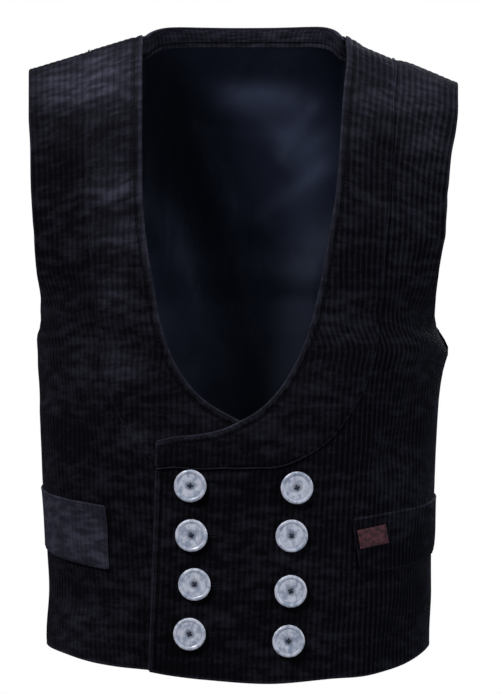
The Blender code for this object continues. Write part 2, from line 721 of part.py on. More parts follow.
def build_welt(name, welt, lift=None):
    """Lay a pocket welt on a front, from its inner end to the side seam."""
    across, down = np.meshgrid(
        np.linspace(0.0, 1.0, WELT_CELLS[0] + 1), np.linspace(0.0, 1.0, WELT_CELLS[1] + 1)
    )
    points, normals = cloth(*welt_places(welt, across, down))
    raised = WELT_GAP + BAND_CLOTH
    if lift is not None:
        raised = raised + lift(points)[..., None]
    cloth_wall(name, points + normals * raised, normals, BAND_CLOTH, CORD_FINISH)


def build_label():
    """Lay the small plain label on the left welt."""
    u, v = np.meshgrid(
        np.linspace(-0.5, 0.5, LABEL_CELLS[0] + 1), np.linspace(0.5, -0.5, LABEL_CELLS[1] + 1)
    )
    width, height = LABEL_SIZE
    x = LABEL_CENTRE[0] + u * width * math.cos(LABEL_TILT) - v * height * math.sin(LABEL_TILT)
    z = LABEL_CENTRE[1] + u * width * math.sin(LABEL_TILT) + v * height * math.cos(LABEL_TILT)
    points, normals = cloth(*place_of(x, z))
    lift = WELT_GAP + BAND_CLOTH + LAY_GAP + LABEL_CLOTH + top_front_lift(points)[..., None]
    cloth_wall("welt_label", points + normals * lift, normals, LABEL_CLOTH, LABEL_FINISH)


def build_buttons():
    """Make both columns of buttons, standing on the top front."""
    mesh = button_mesh()
    columns = (("button_under", BUTTONS_UNDER), ("button_over", BUTTONS_OVER))
    for prefix, centres in columns:
        for number, centre in enumerate(centres, start=1):
            turn, level = place_of(np.array(centre.x), np.array(centre.z))
            point, normal = cloth(turn, level)
            height = float(top_front_lift(point)) + BUTTON_STAND
            button = link_object(f"{prefix}_{number}", mesh.copy(), SHELL_FINISH)
            spot = Vector(point + normal * height)
            aim = Vector(normal).to_track_quat("Z", "Y").to_matrix().to_4x4()
            button.matrix_world = Matrix.Translation(spot) @ aim


def main():
    """Clear the scene and make every piece of the waistcoat."""
    for thing in list(bpy.data.objects):
        bpy.data.objects.remove(thing, do_unlink=True)
    under = build_front("front_right", -1.0, NECKLINE_UNDER, BAND_UNDER, HEM_UNDER)
    build_band("neck_band_right", *under, end=UNDER_BAND_END)
    over = build_front(
        "front_left", 1.0, NECKLINE_OVER, BAND_OVER, HEM_OVER, lift=top_front_lift
    )
    build_band("neck_band_left", *over)
    build_back()
    build_welt("pocket_welt_left", WELT_LEFT, lift=top_front_lift)
    build_welt("pocket_welt_right", WELT_RIGHT)
    build_label()
    build_buttons()


main()
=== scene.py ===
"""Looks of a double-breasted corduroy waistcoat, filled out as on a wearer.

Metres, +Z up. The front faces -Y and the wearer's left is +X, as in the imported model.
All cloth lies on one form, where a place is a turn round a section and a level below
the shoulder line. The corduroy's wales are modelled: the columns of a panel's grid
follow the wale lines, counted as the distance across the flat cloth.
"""

import logging
import math
from collections.abc import Callable, Iterable, Sequence
from dataclasses import dataclass, field
from enum import Enum

import bmesh
import bpy
import numpy as np
from mathutils import Matrix, Vector


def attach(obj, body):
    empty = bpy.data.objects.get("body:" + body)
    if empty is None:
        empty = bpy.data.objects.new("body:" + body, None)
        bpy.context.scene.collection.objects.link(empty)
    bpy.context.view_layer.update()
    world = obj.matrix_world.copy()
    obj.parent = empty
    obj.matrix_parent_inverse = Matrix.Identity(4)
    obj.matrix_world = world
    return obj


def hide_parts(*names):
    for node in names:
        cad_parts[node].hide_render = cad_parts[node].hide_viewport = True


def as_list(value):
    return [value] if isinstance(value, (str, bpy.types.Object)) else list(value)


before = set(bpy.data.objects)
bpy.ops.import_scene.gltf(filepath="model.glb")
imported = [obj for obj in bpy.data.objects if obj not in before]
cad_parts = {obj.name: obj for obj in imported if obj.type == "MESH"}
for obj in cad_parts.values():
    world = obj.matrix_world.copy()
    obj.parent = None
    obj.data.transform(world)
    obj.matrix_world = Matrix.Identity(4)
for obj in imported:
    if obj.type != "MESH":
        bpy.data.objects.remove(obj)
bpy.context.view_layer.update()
LOG = logging.getLogger("waistcoat")
Array = np.ndarray
Piece = bpy.types.Object
Material = bpy.types.Material
Triple = tuple[float, float, float]
Pair = tuple[float, float]


def table(*rows: Sequence[float]) -> Array:
    """A table written in millimetres, with its shares in thousandths."""
    return np.array(rows) / 1000


# ---------------------------------------------------------------- driving sizes

CORDUROY = 0.0020
BAND_CLOTH = 0.0016
SATIN = 0.0010
LABEL_CLOTH = 0.0010
GAP = 0.0003
LAY_GAP = 0.0006
WELT_GAP = 0.0012
BAND_STACK = GAP + BAND_CLOTH

WALE = 0.0049  # from one rib of the corduroy to the next
WALE_DEPTH = 0.00048
WALE_ROUNDNESS = 2.1
WALE_STEPS = (0.0, 0.13, 0.31, 0.5, 0.69, 0.87)  # columns of the grid within a wale
WALE_KINDS = 997  # wales before their unevenness repeats
ONE_TURN = 6.283

NECK_HALF = 0.089
NECK_BACK = 0.064
NECK_RISE = 0.0110
NECK_RISE_REACH = 0.0029
NECK_TURN = 2.2
NECK_BLEND = 3.0
NECK_END = 0.16
SLOPE_MEAN = 0.364
SLOPE_DIFFERENCE = 0.061
SLOPE_END = 0.260
FULLNESS = 2.4
SEAM_LEVEL = 1.0e-6
SEAM_SHARE = 0.004
UNDERARM = 0.257
LOWEST = 0.56

SAMPLE_EASE = 1.6  # how far samples round the form crowd towards its outer edge
EDGE_STEPS = 120  # parts of a neckline
BEND = 0.47  # level under which a grid's rows bend to the hem
PAST = 0.02  # how far outlines run past the cloth
PAST_HEMS = 0.62
EDGE_REACH = 0.02  # furthest distance that the edge mask tells

OVERLAP_FADE = (0.080, 0.125)
OVERLAP_START = (0.240, 0.325)
UNDER_BAND_FADE = (0.365, 0.410)

SHOULDER_SETTLING = 0.012  # level within which the band thins towards the shoulder seam
EDGE_INSET = 0.0052  # topstitching inside a turned edge
STITCH = (0.0013, 0.00032, 0.00032)
STITCH_PITCH = 0.0034
STRIP_SPARE = 1.3  # widest part of a band over its mean width
SEAM_FLATTENING = (0.138, 0.164)  # x over which a welt settles towards the side seam
BAND_FOOT = 95  # part of the neckline from which the band's seam is a turned edge

BUTTON_RADIUS = 0.0136
BUTTON_THICK = 0.0034
BUTTON_STAND = 0.0012

LEVEL, HALF, LEAN, FRONT_CUT, BACK_CUT, FRONT_DEPTH, BACK_DEPTH = range(7)
SECTIONS = table(
    (0, 185, 0, 800, 800, 0, 0), (3, 184.8, 0, 800, 800, 21, 20), (8, 184.2, 0, 800, 800, 34, 32),
    (16, 183.5, 0, 800, 800, 47, 43), (30, 182.8, 0, 800, 800, 61, 56), (50, 181.2, -0.8, 800, 790, 76, 70),
    (80, 177.8, -2.2, 780, 740, 92, 85), (120, 175.8, -3.2, 750, 680, 106, 98),
    (165, 173.2, -3.5, 700, 620, 118, 107), (205, 169.9, -4.8, 600, 520, 125, 110),
    (228, 168.2, -4.4, 460, 410, 127, 110), (243, 170, -5.2, 310, 280, 128, 109),
    (252, 172.4, -4.4, 170, 150, 129, 108), (257, 174, -3.4, 0, 0, 129, 107),
    (274, 178.5, 0.1, 0, 0, 129, 105), (291, 176.2, -2.2, 0, 0, 129, 103), (320, 173, -3.4, 0, 0, 127, 99),
    (360, 170.8, -3.7, 0, 0, 125, 94), (400, 169.2, -3.7, 0, 0, 123, 91), (440, 167.2, -3.6, 0, 0, 122, 91),
    (480, 166.1, -2.7, 0, 0, 121, 94), (520, 166.2, -4.8, 0, 0, 120, 98),
    (560, 163.6, -3.6, 0, 0, 119, 100),
)
SECTION_ROOTS = np.sqrt(SECTIONS[:, LEVEL])

# Edges seen from the front: x is counted towards the piece's own side.
NECKLINE_OVER = table(
    (89.2, 0), (89.6, -21), (86.6, -48.5), (83.8, -79.4), (82, -106.4), (79, -139.6), (75.2, -164),
    (70.8, -187.6), (67.2, -209.3), (58.6, -247.7), (50.7, -271), (42.4, -288.5), (27.8, -310.2),
    (12.4, -325.2), (-3.5, -334.3), (-18, -340.8), (-36.8, -344.8), (-56.8, -346.8), (-70.5, -350),
)
NECKLINE_UNDER = table(
    (88, 0), (87.5, -25.6), (86.6, -62), (86, -105.6), (85.2, -148.1), (82.8, -173.3), (79.2, -200.1),
    (75.5, -220), (70.8, -247.7), (64.3, -269.3), (56.8, -286.8), (44.3, -305.2), (30.1, -318.5),
    (10.1, -330.2), (-11.5, -340), (-35, -346), (-57, -349), (-70, -351.5),
)
# Width of the neckline bands along the neckline.
BAND_OVER = table(
    (0, 41.5), (320, 44), (530, 52), (640, 58.5), (740, 57.5), (800, 50), (850, 39), (890, 30), (940, 26.5),
    (1000, 22.5),
)
BAND_UNDER = table(
    (0, 46), (330, 46), (490, 48), (610, 55), (710, 63), (760, 65), (840, 50), (1000, 28),
)
# Level of each front's hem by x.
HEM_OVER = table(
    (-79, 541.2), (-62.5, 544), (-34, 547.2), (22, 550.8), (71.5, 547.5), (100, 546.2), (122.5, 542.8),
    (136.6, 539.4), (148, 534.5), (162, 527),
)
HEM_UNDER = table(
    (-79, 544), (0, 544), (51, 542.5), (81.2, 540), (118.7, 537.6), (138, 534), (152.7, 530.5),
    (169, 527.5),
)
FREE_EDGE_FOOT = -0.0778
BACK_HEM_SIDE = 0.5270
BACK_HEM_MIDDLE = 0.5400
BACK_FACING_LEVEL = 0.0150

BUTTONS_UNDER = table((-43.3, -386.4), (-42.5, -427.9), (-40, -468.6), (-44.1, -510.1))
BUTTONS_OVER = table((43.9, -388.1), (39.7, -428.3), (38.9, -474.4), (37.2, -515.9))

# Soft ridges along lines seen from the front: x and z of both ends, width and height,
# which is below 0 for a trough.
FRONT_FOLDS = table(
    (-174, -250, -146, -218, 7.5, -2.6), (-170, -262, -128, -236, 11, 2.2),
    (-158, -300, -120, -372, 13, -2.8), (-150, -110, -100, -100, 12, 2), (-165, -80, -112, -66, 11, -1.8),
    (-140, -470, -118, -535, 14, -2.6), (-162, -330, -160, -385, 13, 2.8), (176, -268, 140, -232, 9, -2.6),
    (162, -285, 124, -365, 13, -2.8), (152, -108, 108, -88, 11, 2.2), (166, -84, 124, -58, 10, -2),
    (150, -452, 128, -530, 15, -2.6), (128, -470, 100, -535, 15, 2), (100, -375, 142, -352, 11, -2),
    (108, -9, 128, -18, 11, -3.4),
)
BACK_FOLDS = table(
    (-150, -270, -86, -385, 15, -3.4), (146, -262, 82, -378, 15, -3.4), (-120, -400, -20, -412, 14, 2.6),
    (30, -392, 126, -372, 13, 2.4), (-60, -430, -78, -535, 18, -3.2), (46, -426, 70, -535, 18, -3),
    (-165, -100, -110, -150, 14, -2.4), (165, -104, 116, -156, 14, -2.4), (-50, -44, 46, -50, 12, -1.8),
    (108, -9, 128, -18, 11, -3.4),
)
# Smaller creases that the solids leave to this file.
FRONT_CREASES = table(
    (-140, -60, -98, -56, 5, 1.1), (-134, -74, -94, -71, 4.5, -1), (-138, -86, -92, -86, 5, 1.2),
    (-130, -121, -92, -118, 5, -1.3), (-128, -131, -90, -131, 4.5, 1.1), (-134, -146, -96, -143, 5, 1),
    (-126, -160, -88, -162, 5.5, -1.1), (-124, -173, -86, -177, 5, 1), (-120, -200, -84, -206, 5, -1),
    (-106, -252, -72, -268, 5.5, 1), (-100, -286, -70, -304, 5.5, -1.1), (-168, -236, -150, -226, 3.5, 1.2),
    (-172, -140, -150, -150, 6, 1), (-172, -175, -150, -182, 6, -1.2), (-140, -330, -100, -336, 7, 1.2),
    (-150, -500, -120, -508, 7, 1.2), (-112, -420, -90, -470, 8, -1.2), (98, -70, 126, -74, 5.5, 1),
    (96, -96, 128, -104, 5.5, -1.1), (94, -150, 120, -158, 6, 1), (150, -150, 172, -142, 6, -1.2),
    (140, -190, 168, -176, 7, 1.2), (78, -262, 104, -240, 6.5, -1), (50, -310, 80, -296, 6, 1),
    (0, -404, 16, -520, 11, -1.4), (-22, -398, -16, -505, 10, 1.1), (-60, -398, -66, -520, 7, 1),
    (58, -396, 64, -520, 9, 1), (88, -480, 78, -535, 11, -1.4), (150, -395, 162, -440, 9, 1.4),
)
BACK_CREASES = table(
    (-90, -30, -130, -60, 7, -1.4), (92, -34, 134, -62, 7, -1.4), (-40, -70, 30, -76, 8, 1.2),
    (-70, -200, 60, -210, 15, -1.6), (-150, -210, -120, -230, 7, 1.4), (150, -205, 118, -232, 7, 1.4),
    (-50, -420, 50, -428, 8, -1.6), (-20, -460, -14, -530, 11, 1.4), (110, -440, 120, -530, 11, -1.4),
    (-112, -450, -126, -530, 11, -1.4),
)
# Creases of the satin lining: each stands into the hollow.
LINING_CREASES = table(
    (66, -62, 36, -104, 9, 2.7), (68, -88, 40, -112, 7.5, 2.2), (72, -118, 18, -160, 13.5, 2.4),
    (-52, -70, -20, -150, 18, 2.7), (-12, -52, 62, -60, 12, 2.1), (-80, -160, -30, -300, 21, 2.7),
    (70, -190, 40, -320, 21, 2.7), (-10, -180, 0, -330, 24, 1.9), (-100, -350, -20, -362, 16.5, 2.4),
    (20, -356, 110, -340, 16.5, 2.4), (-60, -400, -66, -520, 19.5, 2.7), (56, -396, 64, -520, 19.5, 2.7),
)

# Soft ovals seen from the front: where the pile lies over, with painted sheen, and painted shade where
# darker, and the lining's painted highlight: x, z, half width, half height, and a strength, which is
# below 0 where it is darker.
NAP_AND_PAINTED_LIGHT_PATCHES = table(
    (-115, -50, 34, 22, 550), (-150, -48, 30, 18, 350), (-112, -112, 22, 10, 450),
    (-106, -140, 22, 12, 600), (-100, -176, 18, 14, 500), (-110, -225, 16, 12, 250),
    (-96, -286, 16, 12, 300), (-150, -130, 20, 30, -60), (135, -55, 26, 16, 250), (150, -100, 16, 12, 200),
    (100, -80, 12, 30, 120), (120, -330, 50, 60, -50), (130, -480, 50, 50, -120), (-130, -520, 30, 20, 150),
    (-108, -28, 26, 14, 300), (-60, -520, 20, 30, -120), (-130, -290, 30, 30, 100),
    (-88, -345, 16, 10, 160), (104, -170, 26, 60, -100), (150, -45, 30, 14, 180),
)
# The lining's painted highlight, where light through the neck opening falls on the upper back.
PAINTED_SHINE_PATCHES = table(
    (4, -50, 24, 12, 900), (32, -58, 26, 17, 1000), (36, -78, 14, 16, 550), (60, -96, 20, 34, 950),
    (50, -150, 22, 40, 400), (10, -110, 30, 50, 160),
)


# ---------------------------------------------------------------- curves


def hermite(x: Array, at: Array, value: Array) -> Array:
    """Read a curve through points, keeping its rises and falls as given.

    Args:
        x: Where to read it.
        at: Places of the points, rising.
        value: Values of the points.

    Returns:
        The values at x.
    """
    step = np.diff(at)
    slope = np.diff(value) / step
    before, after = slope[:-1], slope[1:]
    inner = np.where(before * after > 0, 2 * before * after / (before + after + 1e-30), 0.0)
    tangent = np.concatenate([[slope[0]], inner, [slope[-1]]])
    x = np.clip(x, at[0], at[-1])
    i = np.clip(np.searchsorted(at, x, side="right") - 1, 0, len(step) - 1)
    t = (x - at[i]) / step[i]
    start = value[i] * (1 + 2 * t) * (1 - t) ** 2 + value[i + 1] * t * t * (3 - 2 * t)
    return start + step[i] * (tangent[i] * t * (1 - t) ** 2 + tangent[i + 1] * t * t * (t - 1))


def smooth_step(x: Array, low: float, high: float) -> Array:
    """Rise from 0 at low to 1 at high with level ends."""
    t = np.clip((x - low) / (high - low), 0.0, 1.0)
    return t * t * (3 - 2 * t)


def eased(count: int) -> Array:
    """Shares from 0 to 1 that crowd towards 1."""
    return 1 - (1 - np.linspace(0.0, 1.0, count)) ** SAMPLE_EASE


def unit(vectors: Array) -> Array:
    """Vectors at length 1."""
    return vectors / np.linalg.norm(vectors, axis=-1, keepdims=True)


def path_length(points: Array) -> Array:
    """Length along lines of points, which run down the first axis, from 0 at their starts."""
    step = np.linalg.norm(np.diff(points, axis=0), axis=-1)
    return np.cumsum(np.concatenate([np.zeros((1, *step.shape[1:])), step]), axis=0)


def read_line(at: Array | float, run: Array, line: Array) -> Array:
    """Points of a line at lengths along it."""
    return np.stack([np.interp(at, run, column) for column in line.T], axis=-1)


def even_curve(points: Array, shares: Array) -> Array:
    """Read a smooth curve through points at shares of its length."""
    run = path_length(points)
    return np.stack([hermite(shares, run / run[-1], column) for column in points.T], axis=-1)


def dent(distance: Array, depth: float, width: float) -> Array:
    """A soft hollow, deepest where the distance is 0."""
    return depth * np.exp(-((distance / width) ** 2))


def relief(points: Array, folds: Array) -> Array:
    """Add up the height of folds over the form.

    Args:
        points: Points of the form.
        folds: A table of folds.

    Returns:
        The height at each point.
    """
    x, z = points[..., 0], points[..., 2]
    total = np.zeros_like(x)
    for x0, z0, x1, z1, width, height in folds:
        length = np.hypot(x1 - x0, z1 - z0)
        along_x, along_z = (x1 - x0) / length, (z1 - z0) / length
        run = (x - x0) * along_x + (z - z0) * along_z
        off = -(x - x0) * along_z + (z - z0) * along_x
        past = np.maximum(0.0, np.maximum(-run, run - length))
        total += height * np.exp(-((off / width) ** 2) - (past / width) ** 2)
    return total


def patch_light(points: Array, patches: Array = NAP_AND_PAINTED_LIGHT_PATCHES) -> Array:
    """Tell how much lighter or darker a table of patches paints the cloth.

    Args:
        points: Points of the cloth.
        patches: The table.

    Returns:
        The light at each point.
    """
    total = np.zeros(points.shape[:-1])
    for x, z, wide, high, strength in patches:
        total += strength * np.exp(-(((points[..., 0] - x) / wide) ** 2) - ((points[..., 2] - z) / high) ** 2)
    return total


def line_distance(places: Array, line: Array) -> Array:
    """Measure how far places on the flat cloth are from a line on it.

    Args:
        places: The places.
        line: Points of the line.

    Returns:
        The distances.
    """
    nearest = np.full(places.shape[:-1], 1.0)
    for start, end in zip(line[:-1], line[1:]):
        along = end - start
        share = ((places - start) @ along) / max(float(along @ along), 1e-18)
        gap = places - (start + np.clip(share, 0.0, 1.0)[..., None] * along)
        nearest = np.minimum(nearest, np.linalg.norm(gap, axis=-1))
    return nearest


# ---------------------------------------------------------------- the form


@dataclass(frozen=True)
class Form:
    """The shape that one half of the cloth lies on: the fronts or the back."""

    back: bool
    folds: Array

    def read(self, column: int, level: Array) -> Array:
        """Read a column of the sections at levels."""
        return hermite(np.sqrt(np.maximum(level, 0.0)), SECTION_ROOTS, SECTIONS[:, column])

    def edge_turn(self, level: Array) -> Array:
        """Turn of the panels' outer edge: the armhole, then the side seam."""
        cut = np.maximum(self.read(BACK_CUT if self.back else FRONT_CUT, level), SEAM_SHARE)
        return np.arcsin((1 - cut**FULLNESS) ** (1 / FULLNESS))

    def reach(self, level: Array) -> Array:
        """Half-width that the section would have at a quarter turn."""
        return self.read(HALF, level) / np.sin(self.edge_turn(level))

    def fall(self, x: Array, level: Array) -> Array:
        """Work out the slope of the shoulders, which fades out further down.

        Args:
            x: Distances from the middle line.
            level: Levels below the shoulder line.

        Returns:
            How far points lie below their level.
        """
        across = np.sqrt(x * x + 0.02**2)
        slope = SLOPE_MEAN + SLOPE_DIFFERENCE * x / np.sqrt(x * x + 0.05**2)
        fall = slope * (across - NECK_HALF)
        if self.back:
            rise = NECK_RISE * (1 - np.exp(np.minimum(fall, 0.0) / NECK_RISE_REACH))
            fall = np.where(fall > 0, fall, -rise)
        return fall * (1 - smooth_step(level, 0.0, SLOPE_END))

    def bare(self, turn: Array, level: Array) -> Array:
        """Place points on the form without its folds.

        Args:
            turn: Turns round the sections.
            level: Levels below the shoulder line.

        Returns:
            The points.
        """
        depth = self.read(BACK_DEPTH if self.back else FRONT_DEPTH, level)
        across = self.reach(level) * np.sin(turn)
        out = depth * np.clip(1 - np.abs(np.sin(turn)) ** FULLNESS, 0.0, 1.0) ** (1 / FULLNESS)
        if self.back:
            inside = np.clip(1 - np.abs(across / NECK_HALF) ** NECK_TURN, 0.0, 1.0)
            neck = NECK_BACK * inside ** (1 / NECK_TURN) * (1 - smooth_step(level, 0.0, NECK_END))
            out = (out**NECK_BLEND + neck**NECK_BLEND) ** (1 / NECK_BLEND)
        y = out if self.back else -out
        return np.stack([across + self.read(LEAN, level), y, -level - self.fall(across, level)], axis=-1)

    def round_length(self, turns: Array, level: Array) -> Array:
        """Length round the bare form, down the first axis of turns."""
        return path_length(self.bare(turns, np.broadcast_to(level, turns.shape))[..., :2])

    def normals(self, place: Callable[[Array, Array], Array], turn: Array, level: Array) -> Array:
        """Work out outward normals.

        Args:
            place: The surface, as a function of turn and level.
            turn: Turns round the sections.
            level: Levels below the shoulder line.

        Returns:
            The normals.
        """
        root, step = np.sqrt(np.maximum(level, 0.0)), 5e-4
        by_turn = place(turn + step, level) - place(turn - step, level)
        by_level = place(turn, (root + step) ** 2) - place(turn, np.maximum(root - step, 0.0) ** 2)
        return unit(np.cross(by_turn, by_level) if self.back else np.cross(by_level, by_turn))

    def folded(self, turn: Array, level: Array) -> Array:
        """Point of the form with its folds."""
        base = self.bare(turn, level)
        return base + self.normals(self.bare, turn, level) * relief(base, self.folds)[..., None]

    def cloth(self, turn: Array, level: Array) -> tuple[Array, Array]:
        """Points and outward normals of the cloth's outer face."""
        return self.folded(turn, level), self.normals(self.folded, turn, level)

    def turn_at(self, x: Array, level: Array) -> Array:
        """Turn of points seen from the front at x, on given levels."""
        return np.arcsin(np.clip((x - self.read(LEAN, level)) / self.reach(level), -1.0, 1.0))

    def find(self, x: Array, z: Array) -> tuple[Array, Array]:
        """Find points that are seen from the front.

        Args:
            x: Their x.
            z: Their z.

        Returns:
            Their turns and levels.
        """
        level = np.maximum(-z, SEAM_LEVEL)
        for _ in range(30):
            level = np.maximum(-z - self.fall(x - self.read(LEAN, level), level), SEAM_LEVEL)
        return self.turn_at(x, level), level


# ---------------------------------------------------------------- grids on the cloth


def within(places: Array, outline: Array) -> Array:
    """Tell which places lie inside a closed outline.

    Args:
        places: The places.
        outline: Corners of the outline.

    Returns:
        True for each place inside.
    """
    x, y = places[..., 0], places[..., 1]
    found = np.zeros(x.shape, dtype=bool)
    for (x0, y0), (x1, y1) in zip(outline, np.roll(outline, -1, axis=0)):
        if y0 != y1:
            found ^= ((y0 > y) != (y1 > y)) & (x < (x1 - x0) * (y - y0) / (y1 - y0) + x0)
    return found


def first_crossing(start: Array, end: Array, outline: Array) -> Array:
    """Find where lines meet an outline.

    Args:
        start: First end of each line.
        end: Second end of each line.
        outline: Corners of the outline.

    Returns:
        The share of each line's way at which it first meets the outline.
    """
    edge = (np.roll(outline, -1, axis=0) - outline)[None, :, :]
    way = (end - start)[:, None, :]
    gap = outline[None, :, :] - start[:, None, :]
    turn = way[..., 0] * edge[..., 1] - way[..., 1] * edge[..., 0]
    turn = np.where(np.abs(turn) < 1e-18, 1e-18, turn)
    share = (gap[..., 0] * edge[..., 1] - gap[..., 1] * edge[..., 0]) / turn
    along = (gap[..., 0] * way[..., 1] - gap[..., 1] * way[..., 0]) / turn
    good = (share >= 0) & (share <= 1) & (along >= 0) & (along <= 1)
    return np.where(good, share, 1.0).min(axis=1)


def corners(grid: Array) -> tuple[Array, Array, Array, Array]:
    """The four corners of each cell of a grid."""
    return grid[:-1, :-1], grid[:-1, 1:], grid[1:, :-1], grid[1:, 1:]


def trim(places: Array, outline: Array) -> tuple[Array, Array, Array]:
    """Fit a grid of places to an outline.

    Args:
        places: Rows by columns of places.
        outline: Closed outline in the same measure.

    Returns:
        The places, moved on to the outline where it crosses a cell, the cells to keep,
        and the places that lie on the outline.
    """
    inside = within(places, outline)
    reached, moved = inside.copy(), places.copy()
    rows, columns = inside.shape
    ringed = np.pad(inside, 1)
    for down, right in ((0, 1), (0, -1), (1, 0), (-1, 0)):
        near = ringed[1 + down : 1 + down + rows, 1 + right : 1 + right + columns]
        row, column = np.nonzero(near & ~reached)
        if len(row):
            start, end = places[row + down, column + right], places[row, column]
            share = first_crossing(start, end, outline)
            moved[row, column] = start + (end - start) * share[:, None]
            reached[row, column] = True
    rim = reached & ~inside
    count = np.sum(corners(reached), axis=0)
    keep = (count == 4) & np.any(corners(inside), axis=0)
    for row, column in zip(*np.nonzero(count == 3)):
        block = [(row, column), (row, column + 1), (row + 1, column), (row + 1, column + 1)]
        missing = next(spot for spot in block if not reached[spot])
        if not rim[missing]:
            moved[missing] = moved[missing[0], 2 * column + 1 - missing[1]]
            rim[missing] = True
            keep[row, column] = True
    return moved, keep, rim


def wale_columns(start: float, end: float, phase: float) -> Array:
    """Set the columns of a panel's grid.

    Args:
        start: Distance across at the first column.
        end: Distance across at the last one.
        phase: Where a groove lies.

    Returns:
        The distances across, which follow the wales between the two ends.
    """
    first = math.floor((start - phase) / WALE) - 1
    last = math.ceil((end - phase) / WALE) + 1
    lines = [phase + (k + share) * WALE for k in range(first, last) for share in WALE_STEPS]
    return np.array([start, *(x for x in lines if start + 2e-4 < x < end - 2e-4), end])


def rib(across: Array, drop: Array, phase: float, seed: int) -> Array:
    """Shape the wales, each a little uneven in its own way.

    Args:
        across: Distances across.
        drop: Lengths down the cloth.
        phase: Where a groove lies.
        seed: Start of the random draw.

    Returns:
        The height, 0 at a full crest and below 0 in the grooves.
    """
    count = (across - phase) / WALE
    off = np.abs(1 - 2 * (count - np.floor(count)))
    kinds = np.random.default_rng(seed).random((WALE_KINDS, 4))
    tune = kinds[np.floor(count).astype(int) % WALE_KINDS]
    wave = np.sin(drop * (70 + 60 * tune[..., 0]) + ONE_TURN * tune[..., 1])
    slow = np.sin(drop * (22 + 14 * tune[..., 2]) + ONE_TURN * tune[..., 3])
    depth = WALE_DEPTH * (0.92 + 0.12 * slow + 0.06 * wave)
    crest = -0.00010 * (1 - slow) * tune[..., 2] - 0.00004 * (1 + wave)
    return crest * (1 - off) - depth * off**WALE_ROUNDNESS


@dataclass
class Cut:
    """A trimmed grid of places on a panel's cloth."""

    places: Array
    keep: Array
    rim: Array
    points: Array
    normals: Array
    chart: Array

    def ribbed(self, phase: float, seed: int, share: float = 1.0, sunk: float = 0.0005) -> Array:
        """Height of its wales, a little lower at the rim."""
        height = rib(self.places[..., 0], self.chart[..., 1], phase, seed) * share
        return height - np.where(self.rim, sunk, 0.0)


